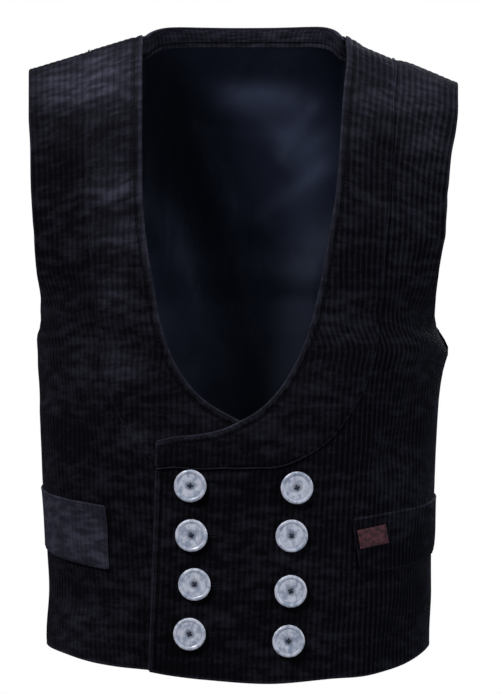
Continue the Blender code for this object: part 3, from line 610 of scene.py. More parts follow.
@dataclass
class Grain:
    """Wale lines of a panel: a place is the distance across the flat cloth, and the level."""

    form: Form
    side: float = 1.0
    corner: Pair | None = None
    foot: Pair | None = None
    free_edge: float = 0.0

    def __post_init__(self) -> None:
        """Measure the form round each level, once, and the free edge between corner and foot."""
        self.roots = np.linspace(0.0, math.sqrt(LOWEST), 181)
        self.shares = eased(261)
        levels = self.roots**2
        turns = eased(500)[:, None] * self.form.edge_turn(levels)
        run = self.form.round_length(turns, levels)
        rows = zip(run.T, turns.T)
        self.table = np.stack([np.interp(self.shares * row[-1], row, turn) for row, turn in rows])
        lean_in = 0.955 + 0.045 * smooth_step(levels, 0.0, 0.12)
        under = np.searchsorted(levels, UNDERARM)
        reached = np.maximum.accumulate(run[-1] * lean_in) + 1e-6 * np.arange(len(levels))
        reached[under:] = reached[under]
        self.edge_across = reached
        self.width = float(reached[-1])
        self.down = path_length(self.form.bare(np.full_like(levels, 0.6), levels))
        if self.corner is not None:
            share = np.linspace(0.0, 1.0, 20)[:, None]
            x, self.edge_levels = (np.array(self.corner) * (1 - share) + np.array(self.foot) * share).T
            self.edge_line = self.measure(self.side * x, self.edge_levels)
            self.free_edge = float(self.edge_line[0])

    def edge(self, level: Array) -> Array:
        """Distance across of the outer edge at levels."""
        return np.interp(np.sqrt(np.maximum(level, 0.0)), self.roots, self.edge_across)

    def drop(self, level: Array | float) -> Array:
        """Length down the cloth from the shoulder line to levels."""
        return np.interp(np.sqrt(np.maximum(level, 0.0)), self.roots, self.down)

    def level_at(self, drop: Array) -> Array:
        """Level at lengths down the cloth."""
        return np.interp(drop, self.down, self.roots) ** 2

    def squeeze(self, level: Array) -> Array:
        """Work out how much the wales spread, so that they run along the free edge.

        Args:
            level: Levels below the shoulder line.

        Returns:
            The share at each.
        """
        if self.corner is None:
            return np.ones_like(level)
        true_edge = np.interp(level, self.edge_levels, self.edge_line)
        return (self.width - true_edge) / (self.width - self.free_edge)

    def turn(self, across: Array, level: Array) -> Array:
        """Turn at places, read from the table.

        Args:
            across: Distance over the flat cloth from the middle line.
            level: Level below the shoulder line.

        Returns:
            The turn round the form, towards the piece's own side.
        """
        true = self.width - (self.width - across) * self.squeeze(level)
        share = np.clip(true / self.edge(level), -1.0, 1.0)
        row = np.clip(np.sqrt(np.maximum(level, 0.0)) / self.roots[1], 0, len(self.roots) - 1.001)
        column = (1 - (1 - np.abs(share)) ** (1 / SAMPLE_EASE)) * (len(self.shares) - 1)
        column = np.clip(column, 0, len(self.shares) - 1.001)
        i, j = row.astype(int), column.astype(int)
        r, c = row - i, column - j
        upper = self.table[i, j] * (1 - c) + self.table[i, j + 1] * c
        lower = self.table[i + 1, j] * (1 - c) + self.table[i + 1, j + 1] * c
        return self.side * np.sign(share) * (upper * (1 - r) + lower * r)

    def measure(self, x: Array, level: Array) -> Array:
        """Measure across the cloth, before the free edge is straightened.

        Args:
            x: Where the points are seen from the front.
            level: Their levels.

        Returns:
            Their distances across.
        """
        turn = self.side * self.form.turn_at(x, level)
        steps = np.linspace(0.0, 1.0, 200)[:, None]
        length = self.form.round_length(steps * turn, level)[-1]
        total = self.form.round_length(steps * self.form.edge_turn(level), level)[-1]
        return np.sign(turn) * length / total * self.edge(level)

    def settle(self, x: Array, level: Array) -> Array:
        """Places of points at x and levels, with the free edge straightened."""
        across = self.width - (self.width - self.measure(x, level)) / self.squeeze(level)
        return np.stack([across, level], axis=-1)

    def place(self, x: Array, z: Array) -> Array:
        """Find the places of points seen from the front.

        Args:
            x: Their x, counted towards the panel's own side.
            z: Their z.

        Returns:
            Their places.
        """
        turn, level = self.form.find(self.side * x, z)
        return self.settle(self.form.reach(level) * np.sin(turn) + self.form.read(LEAN, level), level)

    def chart(self, places: Array) -> Array:
        """Places on the flat cloth in metres: across, and length down."""
        return np.stack([places[..., 0], self.drop(places[..., 1])], axis=-1)

    def cloth(self, places: Array) -> tuple[Array, Array]:
        """Points and outward normals of the cloth at places."""
        across, level = places[..., 0], places[..., 1]
        return self.form.cloth(self.turn(across, level), level)

    def cut(self, places: Array, outline: Array | None = None) -> Cut:
        """Lay a grid of places on the cloth.

        Args:
            places: Rows by columns of places.
            outline: Closed outline that trims it, if any does.

        Returns:
            The grid with its points.
        """
        rim = np.zeros(places.shape[:2], dtype=bool)
        keep = ~rim[1:, 1:]
        if outline is not None:
            places, keep, rim = trim(places, outline)
        return Cut(places, keep, rim, *self.cloth(places), self.chart(places))


# ---------------------------------------------------------------- meshes


def keep_on_body(piece: Piece) -> Piece:
    """Let a piece ride on the garment.

    Args:
        piece: The piece.

    Returns:
        The piece.
    """
    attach(piece, "root")
    return piece


def link(name: str, mesh: bpy.types.Mesh, finishes: Iterable[Material]) -> Piece:
    """Put a mesh in the scene.

    Args:
        name: Name of the piece.
        mesh: Its mesh.
        finishes: Its materials, in order.

    Returns:
        The piece.
    """
    piece = bpy.data.objects.new(name, mesh)
    bpy.context.scene.collection.objects.link(piece)
    for finish in finishes:
        mesh.materials.append(finish)
    return piece


def from_bmesh(name: str, shape: bmesh.types.BMesh, crease: float = 80.0) -> bpy.types.Mesh:
    """Turn a bmesh into a smooth mesh.

    Args:
        name: Name of the mesh.
        shape: The bmesh, which is freed.
        crease: Angle in degrees over which it stays sharp.

    Returns:
        The mesh.
    """
    mesh = bpy.data.meshes.new(name)
    shape.to_mesh(mesh)
    shape.free()
    mesh.shade_smooth()
    mesh.set_sharp_from_angle(angle=math.radians(crease))
    return mesh


def mark(mesh: bpy.types.Mesh, chart: Array, masks: dict[str, Array]) -> None:
    """Give a mesh the UV map of the flat cloth and the masks that its finishes read.

    Args:
        mesh: A mesh whose points know their spot in the grid.
        chart: Places on the flat cloth, by spot.
        masks: Values by name, each by spot.
    """
    spots = np.empty(len(mesh.vertices), dtype=np.int32)
    mesh.attributes["spot"].data.foreach_get("value", spots)
    ends = np.empty(len(mesh.loops), dtype=np.int32)
    mesh.loops.foreach_get("vertex_index", ends)
    layer = mesh.uv_layers.new(name="cloth")
    layer.data.foreach_set("uv", chart.reshape(-1, 2)[spots[ends]].ravel())
    for label, values in masks.items():
        mask = mesh.attributes.new(label, "FLOAT", "POINT")
        mask.data.foreach_set("value", values.ravel()[spots].astype(np.float32))
    mesh.attributes.remove(mesh.attributes["spot"])


@dataclass
class Sheet:
    """A closed sheet of cloth between two grids of points, which stands for a solid."""

    name: str
    outer: Array
    inner: Array
    keep: Array
    chart: Array
    masks: dict[str, Array]

    def mesh(self) -> bpy.types.Mesh:
        """Make the sheet from a plain grid, extruded to its wall.

        Returns:
            The mesh, with its UV map and masks.
        """
        rows, columns = self.keep.shape
        shape = bmesh.new()
        spot = shape.verts.layers.int.new("spot")
        bmesh.ops.create_grid(shape, x_segments=columns, y_segments=rows, size=0.5)
        middles = [(face, face.calc_center_median()) for face in shape.faces]
        kept = self.keep
        spare = [
            face for face, at in middles if not kept[int((at.y + 0.5) * rows), int((at.x + 0.5) * columns)]
        ]
        bmesh.ops.delete(shape, geom=spare, context="FACES")
        for vertex in shape.verts:
            column = round((vertex.co.x + 0.5) * columns)
            row = round((vertex.co.y + 0.5) * rows)
            vertex[spot] = row * (columns + 1) + column
            vertex.co = self.outer[row, column]
        bmesh.ops.remove_doubles(shape, verts=shape.verts, dist=1e-6)
        made = bmesh.ops.extrude_face_region(shape, geom=shape.faces[:], use_keep_orig=True)
        for part in made["geom"]:
            if isinstance(part, bmesh.types.BMVert):
                part.co = self.inner[divmod(part[spot], columns + 1)]
            elif isinstance(part, bmesh.types.BMFace):
                part.material_index = 1
        bmesh.ops.recalc_face_normals(shape, faces=shape.faces)
        mesh = from_bmesh(self.name, shape)
        mark(mesh, self.chart, self.masks)
        return mesh

    def flat_size(self) -> Triple:
        """Measure the cut on the flat cloth.

        Returns:
            Its width, length and area.
        """
        first, right, below, last = corners(self.chart)
        one, two = last - first, below - right
        area = np.abs(one[..., 0] * two[..., 1] - one[..., 1] * two[..., 0]) / 2
        spots = np.concatenate([corner[self.keep] for corner in corners(self.chart)])
        width, length = np.ptp(spots, axis=0)
        return float(width), float(length), float(area[self.keep].sum())

    def build(
        self,
        finishes: tuple[Material, Material],
        slot: str,
        held: str,
        rests_on: Sequence[str] = (),
        size: Triple | None = None,
    ) -> Piece:
        """Make the piece, say how it was cut, and let it stand for its solid.

        Args:
            finishes: Materials of the outer and of the inner face.
            slot: The record's slot; not used.
            held: How it is held; not used.
            rests_on: Names of the pieces that hold it.
            size: Width, length and area of the cut, where the flat cloth's grid doesn't show them.

        Returns:
            The piece.
        """
        piece = link(self.name, self.mesh(), finishes)
        width, length, area = size or self.flat_size()
        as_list(rests_on)
        keep_on_body(piece)
        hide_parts(self.name)
        piece.name = f"{self.name}_cloth"
        told = (piece.name, width * 1000, length * 1000, area * 10000)
        LOG.info("%s: cut %.0f x %.0f mm, %.0f square centimetres", *told)
        return piece


@dataclass
class Roll:
    """A turned edge: a soft tube along a line, flatter than it is wide."""

    name: str
    points: Array
    normals: Array
    chart: Array
    half_size: Pair
    thin: Pair = (0.0, 0.0)
    sides: int = 10
    thinnest: float = 0.35

    def build(self, finish: Material) -> Piece:
        """Bend a plain grid round the line, close it and cap its ends.

        Args:
            finish: Its material.

        Returns:
            The piece.
        """
        count = len(self.points)
        tangent = unit(np.gradient(self.points, axis=0))
        across = unit(np.cross(tangent, self.normals))
        up = np.cross(across, tangent)
        run = path_length(self.points)
        full = smooth_step(run + 1e-9, 0.0, self.thin[0] + 1e-9)
        full = full * smooth_step(run[-1] - run + 1e-9, 0.0, self.thin[1] + 1e-9)
        full = self.thinnest + (1 - self.thinnest) * full
        shape = bmesh.new()
        bmesh.ops.create_grid(shape, x_segments=self.sides, y_segments=count - 1, size=0.5)
        spot = shape.verts.layers.int.new("spot")
        for vertex in shape.verts:
            row = round((vertex.co.y + 0.5) * (count - 1))
            angle = 2 * math.pi * round((vertex.co.x + 0.5) * self.sides) / self.sides
            wide = self.half_size[0] * full[row] * math.cos(angle)
            high = self.half_size[1] * full[row] * math.sin(angle)
            vertex[spot] = row
            vertex.co = self.points[row] + across[row] * wide + up[row] * high
        bmesh.ops.remove_doubles(shape, verts=shape.verts, dist=1e-7)
        bmesh.ops.holes_fill(shape, edges=[edge for edge in shape.edges if edge.is_boundary], sides=0)
        bmesh.ops.recalc_face_normals(shape, faces=shape.faces)
        mesh = from_bmesh(self.name, shape)
        # An edge mask of 1 mm gives each roll the full painted highlight of a turned edge; the patches add
        # painted sheen and shade.
        mark(mesh, self.chart, {"edge": np.full(count, 0.001), "nap": patch_light(self.points)})
        return keep_on_body(link(self.name, mesh, [finish]))


@dataclass
class Stitching:
    """Rows of small stitches as one joined mesh."""

    name: str
    matrices: list[Matrix] = field(default_factory=list)

    def along(
        self, points: Array, normals: Array, size: Triple = STITCH, pitch: float = STITCH_PITCH
    ) -> None:
        """Add stitches along a line.

        Args:
            points: The line, on the cloth.
            normals: Outward normals there.
            size: Half length, half width and half height of a stitch.
            pitch: From one stitch to the next.
        """
        run = path_length(points)
        for at in np.arange(0.5 * pitch, run[-1], pitch):
            ahead, behind = (read_line(at + way * pitch, run, points) for way in (0.2, -0.2))
            self.place(read_line(at, run, points), ahead - behind, read_line(at, run, normals), size)

    def place(self, here: Iterable[float], along: Iterable[float], up: Iterable[float], size: Triple) -> None:
        """Add one stitch.

        Args:
            here: Its middle.
            along: Its direction.
            up: The cloth's normal.
            size: Its half length, half width and half height.
        """
        x, z = Vector(along).normalized(), Vector(up)
        z = (z - x * z.dot(x)).normalized()
        turn = Matrix((x, z.cross(x), z)).transposed().to_4x4()
        self.matrices.append(Matrix.Translation(Vector(here)) @ turn @ Matrix.Diagonal((*size, 1.0)))

    def build(self, finish: Material) -> Piece:
        """Make a small rounded body for each stitch.

        Args:
            finish: Their material.

        Returns:
            The piece.
        """
        shape = bmesh.new()
        for matrix in self.matrices:
            bmesh.ops.create_icosphere(shape, subdivisions=1, radius=1.0, matrix=matrix)
        return keep_on_body(link(self.name, from_bmesh(self.name, shape), [finish]))


# ---------------------------------------------------------------- shader nodes


class Value:
    """The value of a socket: arithmetic on it lays math nodes in its tree."""

    def __init__(self, recipe: "Recipe", socket: bpy.types.NodeSocket) -> None:
        """Hold a socket of a recipe's tree."""
        self.recipe, self.socket = recipe, socket

    def __add__(self, other: "Value | float") -> "Value":
        """Sum."""
        return self.recipe.math("ADD", self, other)

    def __radd__(self, other: float) -> "Value":
        """Sum with a number before it."""
        return self.recipe.math("ADD", other, self)

    def __sub__(self, other: "Value | float") -> "Value":
        """Difference."""
        return self.recipe.math("SUBTRACT", self, other)

    def __rsub__(self, other: float) -> "Value":
        """Difference from a number before it."""
        return self.recipe.math("SUBTRACT", other, self)

    def __mul__(self, other: "Value | float") -> "Value":
        """Product."""
        return self.recipe.math("MULTIPLY", self, other)

    def __truediv__(self, other: "Value | float") -> "Value":
        """Quotient."""
        return self.recipe.math("DIVIDE", self, other)

    def __abs__(self) -> "Value":
        """Size without its sign."""
        return self.recipe.math("ABSOLUTE", self)

    def clamped(self) -> "Value":
        """The same, kept from 0 to 1."""
        self.socket.node.use_clamp = True
        return self

    def ramp(self, low: float, high: float) -> "Value":
        """Rise smoothly from 0 at low to 1 at high."""
        inputs = {"Value": self, "From Min": low, "From Max": high}
        return self.recipe.read("ShaderNodeMapRange", "Result", inputs, interpolation_type="SMOOTHSTEP")


Given = Value | float | tuple[float, ...]


@dataclass
class Recipe:
    """A short way to lay and join shader nodes in a tree."""

    tree: bpy.types.NodeTree

    def fill(self, node: bpy.types.Node, inputs: dict[str | int, Given]) -> None:
        """Give a node its inputs.

        Args:
            node: The node.
            inputs: Values to link, or plain ones to set, by the name or number of the input.
        """
        for key, given in inputs.items():
            if isinstance(given, Value):
                self.tree.links.new(given.socket, node.inputs[key])
            else:
                node.inputs[key].default_value = given

    def add(self, kind: str, inputs: dict[str | int, Given], **settings: object) -> bpy.types.Node:
        """Add a node.

        Args:
            kind: Its type.
            inputs: What its inputs are given.
            **settings: Its options.

        Returns:
            The node.
        """
        node = self.tree.nodes.new(kind)
        for name, value in settings.items():
            setattr(node, name, value)
        self.fill(node, inputs)
        return node

    def read(
        self, kind: str, output: str | int, inputs: dict[str | int, Given], **settings: object
    ) -> Value:
        """Add a node and take one of its outputs."""
        return Value(self, self.add(kind, inputs, **settings).outputs[output])

    def math(self, operation: str, *terms: Value | float) -> Value:
        """Work out a value from others."""
        return self.read("ShaderNodeMath", 0, dict(enumerate(terms)), operation=operation)

    def axis(self, vector: Value, number: int) -> Value:
        """One number of a vector."""
        return self.read("ShaderNodeSeparateXYZ", number, {0: vector})

    def noise(self, where: Value, scale: Triple, detail: float = 3.0) -> Value:
        """Soft noise from 0 to 1, on coordinates scaled by different amounts."""
        stretched = self.read("ShaderNodeVectorMath", 0, {0: where, 1: scale}, operation="MULTIPLY")
        return self.read("ShaderNodeTexNoise", "Fac", {"Vector": stretched, "Scale": 1.0, "Detail": detail})

    def blend(self, share: Value, first: Value | Triple, second: Value | Triple) -> Value:
        """Mix two colours."""
        pair = [colour if isinstance(colour, Value) else (*colour, 1.0) for colour in (first, second)]
        return self.read("ShaderNodeMix", 2, {"Factor": share, 6: pair[0], 7: pair[1]}, data_type="RGBA")

    def bump(self, height: Value, distance: float, strength: float) -> Value:
        """Turn a height into a normal."""
        inputs = {"Height": height, "Distance": distance, "Strength": strength}
        return self.read("ShaderNodeBump", "Normal", inputs)

    def mask(self, name: str) -> Value:
        """Read a mask of the piece."""
        return self.read("ShaderNodeAttribute", "Fac", {}, attribute_name=name)

    def chart(self, name: str = "cloth") -> Value:
        """Coordinates of a UV map."""
        return self.read("ShaderNodeUVMap", 0, {}, uv_map=name)

    def place(self) -> Value:
        """Coordinates on the object."""
        return self.read("ShaderNodeTexCoord", "Object", {})

    def open_group(self, *takes: str) -> tuple[Value, ...]:
        """Name what a group takes: a vector for coordinates, or else a number.

        Args:
            *takes: Names of its inputs.

        Returns:
            Their values, in order.
        """
        for name in takes:
            kind = "Vector" if name in ("Cloth", "Place") else "Float"
            self.tree.interface.new_socket(name=name, in_out="INPUT", socket_type=f"NodeSocket{kind}")
        start = self.add("NodeGroupInput", {})
        return tuple(Value(self, start.outputs[name]) for name in takes)

    def close_group(self, **gives: Value) -> None:
        """Name what a group gives.

        Args:
            **gives: Its outputs, by name.
        """
        for name in gives:
            self.tree.interface.new_socket(name=name, in_out="OUTPUT", socket_type="NodeSocketFloat")
        self.add("NodeGroupOutput", gives)


class Effect(Enum):
    """Patterns that several finishes share, each a node group."""

    WALE = "wale_pile"
    NAP = "nap_lie"
    YARN = "crossed_yarns"

    def place(self, recipe: Recipe, **inputs: Given) -> dict[str, Value]:
        """Put the group in a material, building it the first time.

        Args:
            recipe: Recipe of the material.
            **inputs: What the group is given.

        Returns:
            What it gives, by name.
        """
        if self.value not in bpy.data.node_groups:
            EFFECT_MAKERS[self](Recipe(bpy.data.node_groups.new(self.value, "ShaderNodeTree")))
        node = recipe.add("ShaderNodeGroup", {}, node_tree=bpy.data.node_groups[self.value])
        recipe.fill(node, inputs)
        return {socket.name: Value(recipe, socket) for socket in node.outputs}


def make_wale(recipe: Recipe) -> None:
    """Pile of a wale: the groove beside it, tufts along it and fine fibre.

    Args:
        recipe: Recipe of the group.
    """
    cloth, shift = recipe.open_group("Cloth", "Shift")
    count = (recipe.axis(cloth, 0) + shift) / WALE
    off = abs(1.0 - recipe.math("FRACT", count) * 2.0)
    groove = off.ramp(0.45, 0.98)
    tuft = recipe.noise(cloth, (900.0, 210.0, 1.0), 4.0)
    fibre = recipe.noise(cloth, (2600.0, 1100.0, 1.0), 2.0)
    crush = recipe.noise(cloth, (80.0, 190.0, 1.0))
    height = tuft + fibre * 0.5 + crush * 4.2 - groove * 0.5
    recipe.close_group(Groove=groove, Crest=1.0 - off.ramp(0.0, 0.5), Tuft=tuft, Height=height)


def make_nap(recipe: Recipe) -> None:
    """Large soft patches where the pile lies one way or the other.

    Args:
        recipe: Recipe of the group.
    """
    place, cloth = recipe.open_group("Place", "Cloth")
    broad = recipe.noise(place, (16.0, 16.0, 34.0))
    rubbed = recipe.noise(cloth, (60.0, 150.0, 1.0), 5.0)
    recipe.close_group(Lie=(broad * 0.38 + rubbed * 0.62).ramp(0.42, 0.70))


def make_yarn(recipe: Recipe) -> None:
    """Fine crossed yarns of a flat weave.

    Args:
        recipe: Recipe of the group.
    """
    cloth, count = recipe.open_group("Cloth", "Count")
    warp, weft = (recipe.math("SINE", recipe.axis(cloth, way) * count * math.tau) for way in range(2))
    recipe.close_group(Height=warp * weft, Slub=recipe.noise(cloth, (90.0, 900.0, 1.0)))


EFFECT_MAKERS: dict[Effect, Callable[[Recipe], None]] = {
    Effect.WALE: make_wale,
    Effect.NAP: make_nap,
    Effect.YARN: make_yarn,
}


# ---------------------------------------------------------------- finishes


@dataclass(frozen=True)
class Finish:
    """A finish: each kind says what its Principled shader is given."""

    name: str

    def inputs(self, recipe: Recipe) -> dict[str, Given]:
        """A plain pale grey, for the studio's paper."""
        return {"Base Color": (0.80, 0.80, 0.80, 1.0), "Roughness": 0.9}

    def material(self) -> Material:
        """Make the material.

        Returns:
            The material.
        """
        material = bpy.data.materials.new(self.name)
        material.use_nodes = True
        recipe = Recipe(material.node_tree)
        recipe.fill(material.node_tree.nodes["Principled BSDF"], self.inputs(recipe))
        return material


@dataclass(frozen=True)
class CorduroyFinish(Finish):
    """Near-black wide-wale cotton with a soft pile."""

    shift: float = 0.0
    # The deep colour is painted shade in grooves and stitched lines; the light colour carries the painted
    # highlights and sheen; the lift paints sheen over a whole finish; the rib setting scales the painted
    # crest highlights and groove shade.
    deep: Triple = (0.0008, 0.0008, 0.0013)
    pile: Triple = (0.0024, 0.0023, 0.0036)
    light: Triple = (0.0440, 0.0420, 0.0620)
    lift: float = 0.0
    rib_shading: float = 0.40

    def inputs(self, recipe: Recipe) -> dict[str, Given]:
        """Dark pile with painted highlights on crests and turned edges, patches where the pile lies over
        with painted sheen and shade, and painted shade in grooves and stitched lines.

        Args:
            recipe: Recipe of the material.

        Returns:
            What the shader is given.
        """
        cloth, place, edge = recipe.chart(), recipe.place(), recipe.mask("edge")
        wale = Effect.WALE.place(recipe, Cloth=cloth, Shift=self.shift)
        lie = Effect.NAP.place(recipe, Place=place, Cloth=cloth)["Lie"]
        # The patch mask and the finish's lift paint sheen, and shade where below 0, over the pile's random
        # lie.
        laid = (recipe.mask("nap") + self.lift) * (0.45 + lie)
        # A painted highlight along turned edges, where the mask is under 3 mm.
        edge_highlight = 1.0 - edge.ramp(0.0012, 0.0030)
        # The topstitched groove, also darkened below as painted shade.
        sunk = 1.0 - abs(edge - EDGE_INSET).ramp(0.0004, 0.0017)
        # A painted highlight on the wale crests, stronger towards +x, where the side light falls.
        lit_side = recipe.axis(place, 0).ramp(0.02, 0.12) * 0.60
        crest = wale["Crest"] * ((lit_side + 0.25) * self.rib_shading)
        tone = lie * 0.26 + laid + edge_highlight * 0.16 + crest * wale["Tuft"]
        tone = (tone + (wale["Tuft"] - 0.5) * 0.20).clamped()
        # Painted shade in the grooves and along the topstitched lines, blended to the deep colour.
        dark = recipe.math("MAXIMUM", wale["Groove"] * self.rib_shading, sunk * 0.70)
        return {
            "Base Color": recipe.blend(dark, recipe.blend(tone, self.pile, self.light), self.deep),
            "Roughness": 0.92 - tone * 0.22,
            "Normal": recipe.bump(wale["Height"] - sunk * 1.6, 0.00035, 0.8),
            "Specular IOR Level": 0.04,
            "Sheen Weight": 0.03,
            "Sheen Roughness": 0.42,
            "Sheen Tint": (0.62, 0.64, 0.86, 1.0),
        }


@dataclass(frozen=True)
class SatinFinish(Finish):
    """Dark navy satin with a soft gloss and a painted highlight."""

    dark: Triple = (0.0010, 0.0016, 0.0038)
    bright: Triple = (0.0026, 0.0038, 0.0092)
    # Colour of the painted highlight.
    shine: Triple = (0.0315, 0.0380, 0.0665)

    def inputs(self, recipe: Recipe) -> dict[str, Given]:
        """Cloudy navy with fine yarns and wrinkles, with a painted highlight where the mask says.

        Args:
            recipe: Recipe of the material.

        Returns:
            What the shader is given.
        """
        cloth = recipe.chart()
        yarn = Effect.YARN.place(recipe, Cloth=cloth, Count=2600.0)
        tone = recipe.noise(cloth, (14.0, 9.0, 1.0)) * 0.7 + yarn["Slub"] * 0.3
        wrinkle = recipe.noise(cloth, (40.0, 26.0, 1.0))
        colour = recipe.blend(tone, self.dark, self.bright)
        return {
            # The mask paints the highlight where light through the neck falls on the upper back.
            "Base Color": recipe.blend(recipe.mask("shine"), colour, self.shine),
            "Roughness": 0.34 + yarn["Slub"] * 0.18,
            "Normal": recipe.bump(wrinkle * 6.0 + yarn["Height"] * 0.12, 0.0003, 0.7),
            "Specular IOR Level": 0.36,
            "Specular Tint": (0.58, 0.68, 1.0, 1.0),
        }


@dataclass(frozen=True)
class ThreadFinish(Finish):
    """Twisted sewing thread."""

    colour: Triple = (0.0020, 0.0024, 0.0040)
    tip: Triple = (0.0075, 0.0085, 0.0130)

    def inputs(self, recipe: Recipe) -> dict[str, Given]:
        """Fine twists.

        Args:
            recipe: Recipe of the material.

        Returns:
            What the shader is given.
        """
        twist = recipe.noise(recipe.place(), (3000.0, 3000.0, 5200.0), 2.0)
        return {
            "Base Color": recipe.blend(twist, self.colour, self.tip),
            "Roughness": 0.42 + twist * 0.3,
            "Normal": recipe.bump(twist, 0.0002, 0.6),
            "Specular IOR Level": 0.15,
        }


@dataclass(frozen=True)
class ShellFinish(Finish):
    """Polished pearly shell with soft growth bands and a darker middle."""

    pale: Triple = (0.72, 0.73, 0.82)
    cool: Triple = (0.33, 0.38, 0.48)
    warm: Triple = (0.54, 0.51, 0.57)
    dark_middle: Triple = (0.08, 0.10, 0.15)

    def inputs(self, recipe: Recipe) -> dict[str, Given]:
        """Clouds and bands, a cool ring in the turned groove and a dark middle.

        Args:
            recipe: Recipe of the material.

        Returns:
            What the shader is given.
        """
        place, face = recipe.place(), recipe.chart("face")
        radius = recipe.read("ShaderNodeVectorMath", "Value", {0: face}, operation="LENGTH") / BUTTON_RADIUS
        clouds = recipe.noise(place, (240.0, 240.0, 190.0), 4.0)
        bands = recipe.noise(place, (520.0, 520.0, 140.0))
        ring = 1.0 - abs(radius - 0.76).ramp(0.02, 0.09)
        centre = 1.0 - radius.ramp(0.10, 0.42)
        colour = recipe.blend(clouds.ramp(0.40, 0.66), self.pale, self.cool)
        colour = recipe.blend(bands.ramp(0.48, 0.68) * 0.5, colour, self.warm)
        colour = recipe.blend(ring * 0.45, colour, self.cool)
        return {
            # Darker towards the middle of the button.
            "Base Color": recipe.blend(centre * 0.85, colour, self.dark_middle),
            "Roughness": 0.20 + bands * 0.25,
            "Normal": recipe.bump(clouds, 0.0003, 0.4),
            "Coat Weight": 0.35,
            "Coat Roughness": 0.12,
        }


@dataclass(frozen=True)
class TapeFinish(Finish):
    """Plain red woven tape, faded, with a little wear."""

    deep: Triple = (0.035, 0.006, 0.009)
    faded: Triple = (0.150, 0.034, 0.048)

    def inputs(self, recipe: Recipe) -> dict[str, Given]:
        """Cloudy red over crossed yarns.

        Args:
            recipe: Recipe of the material.

        Returns:
            What the shader is given.
        """
        cloth = recipe.chart()
        yarn = Effect.YARN.place(recipe, Cloth=cloth, Count=1250.0)
        cloud = recipe.noise(cloth, (220.0, 260.0, 1.0), 4.0)
        return {
            "Base Color": recipe.blend(cloud.ramp(0.35, 0.70), self.deep, self.faded),
            "Roughness": 0.62 + cloud * 0.2,
            "Normal": recipe.bump(yarn["Height"] + yarn["Slub"] * 0.6, 0.00025, 0.8),
        }


class Finishes:
    """Every finish of the waistcoat, made once."""

    def __init__(self) -> None:
        """Make the materials."""
        self.cord = CorduroyFinish("black_corduroy").material()
        # The band, the turned edges and the lighter welt are lightened by their lift: painted sheen, with a
        # painted highlight on the turned edges.
        self.band = CorduroyFinish("band_corduroy", shift=0.4 * WALE, lift=0.02).material()
        self.edge = CorduroyFinish("turned_corduroy", lift=0.16, rib_shading=0.10).material()
        self.flap = CorduroyFinish("brushed_corduroy", lift=0.82, rib_shading=0.25).material()
        self.satin = SatinFinish("navy_satin").material()
        self.thread = ThreadFinish("black_thread").material()
        button_thread = ThreadFinish("button_thread", (0.010, 0.012, 0.020), (0.035, 0.040, 0.060))
        self.shank = button_thread.material()
        self.shell = ShellFinish("pearl_shell").material()
        self.tape = TapeFinish("red_tape").material()


# ---------------------------------------------------------------- pieces


def report(pieces: Iterable[Piece]) -> None:
    """Write each piece and its number of triangles to the log."""
    for piece in pieces:
        LOG.info("%s: %d triangles", piece.name, sum(len(face.vertices) - 2 for face in piece.data.polygons))


def top_front_lift(points: Array) -> Array:
    """Work out how far the top front stands off the form, over the front and band beneath.

    Args:
        points: Points of the form.

    Returns:
        The height at each.
    """
    x, level = points[..., 0], -points[..., 2]
    across = (1 - smooth_step(x, *OVERLAP_FADE)) * smooth_step(level, *OVERLAP_START)
    band = 1 - smooth_step(level, *UNDER_BAND_FADE)
    return across * (CORDUROY + LAY_GAP + band * (BAND_CLOTH + GAP + LAY_GAP))


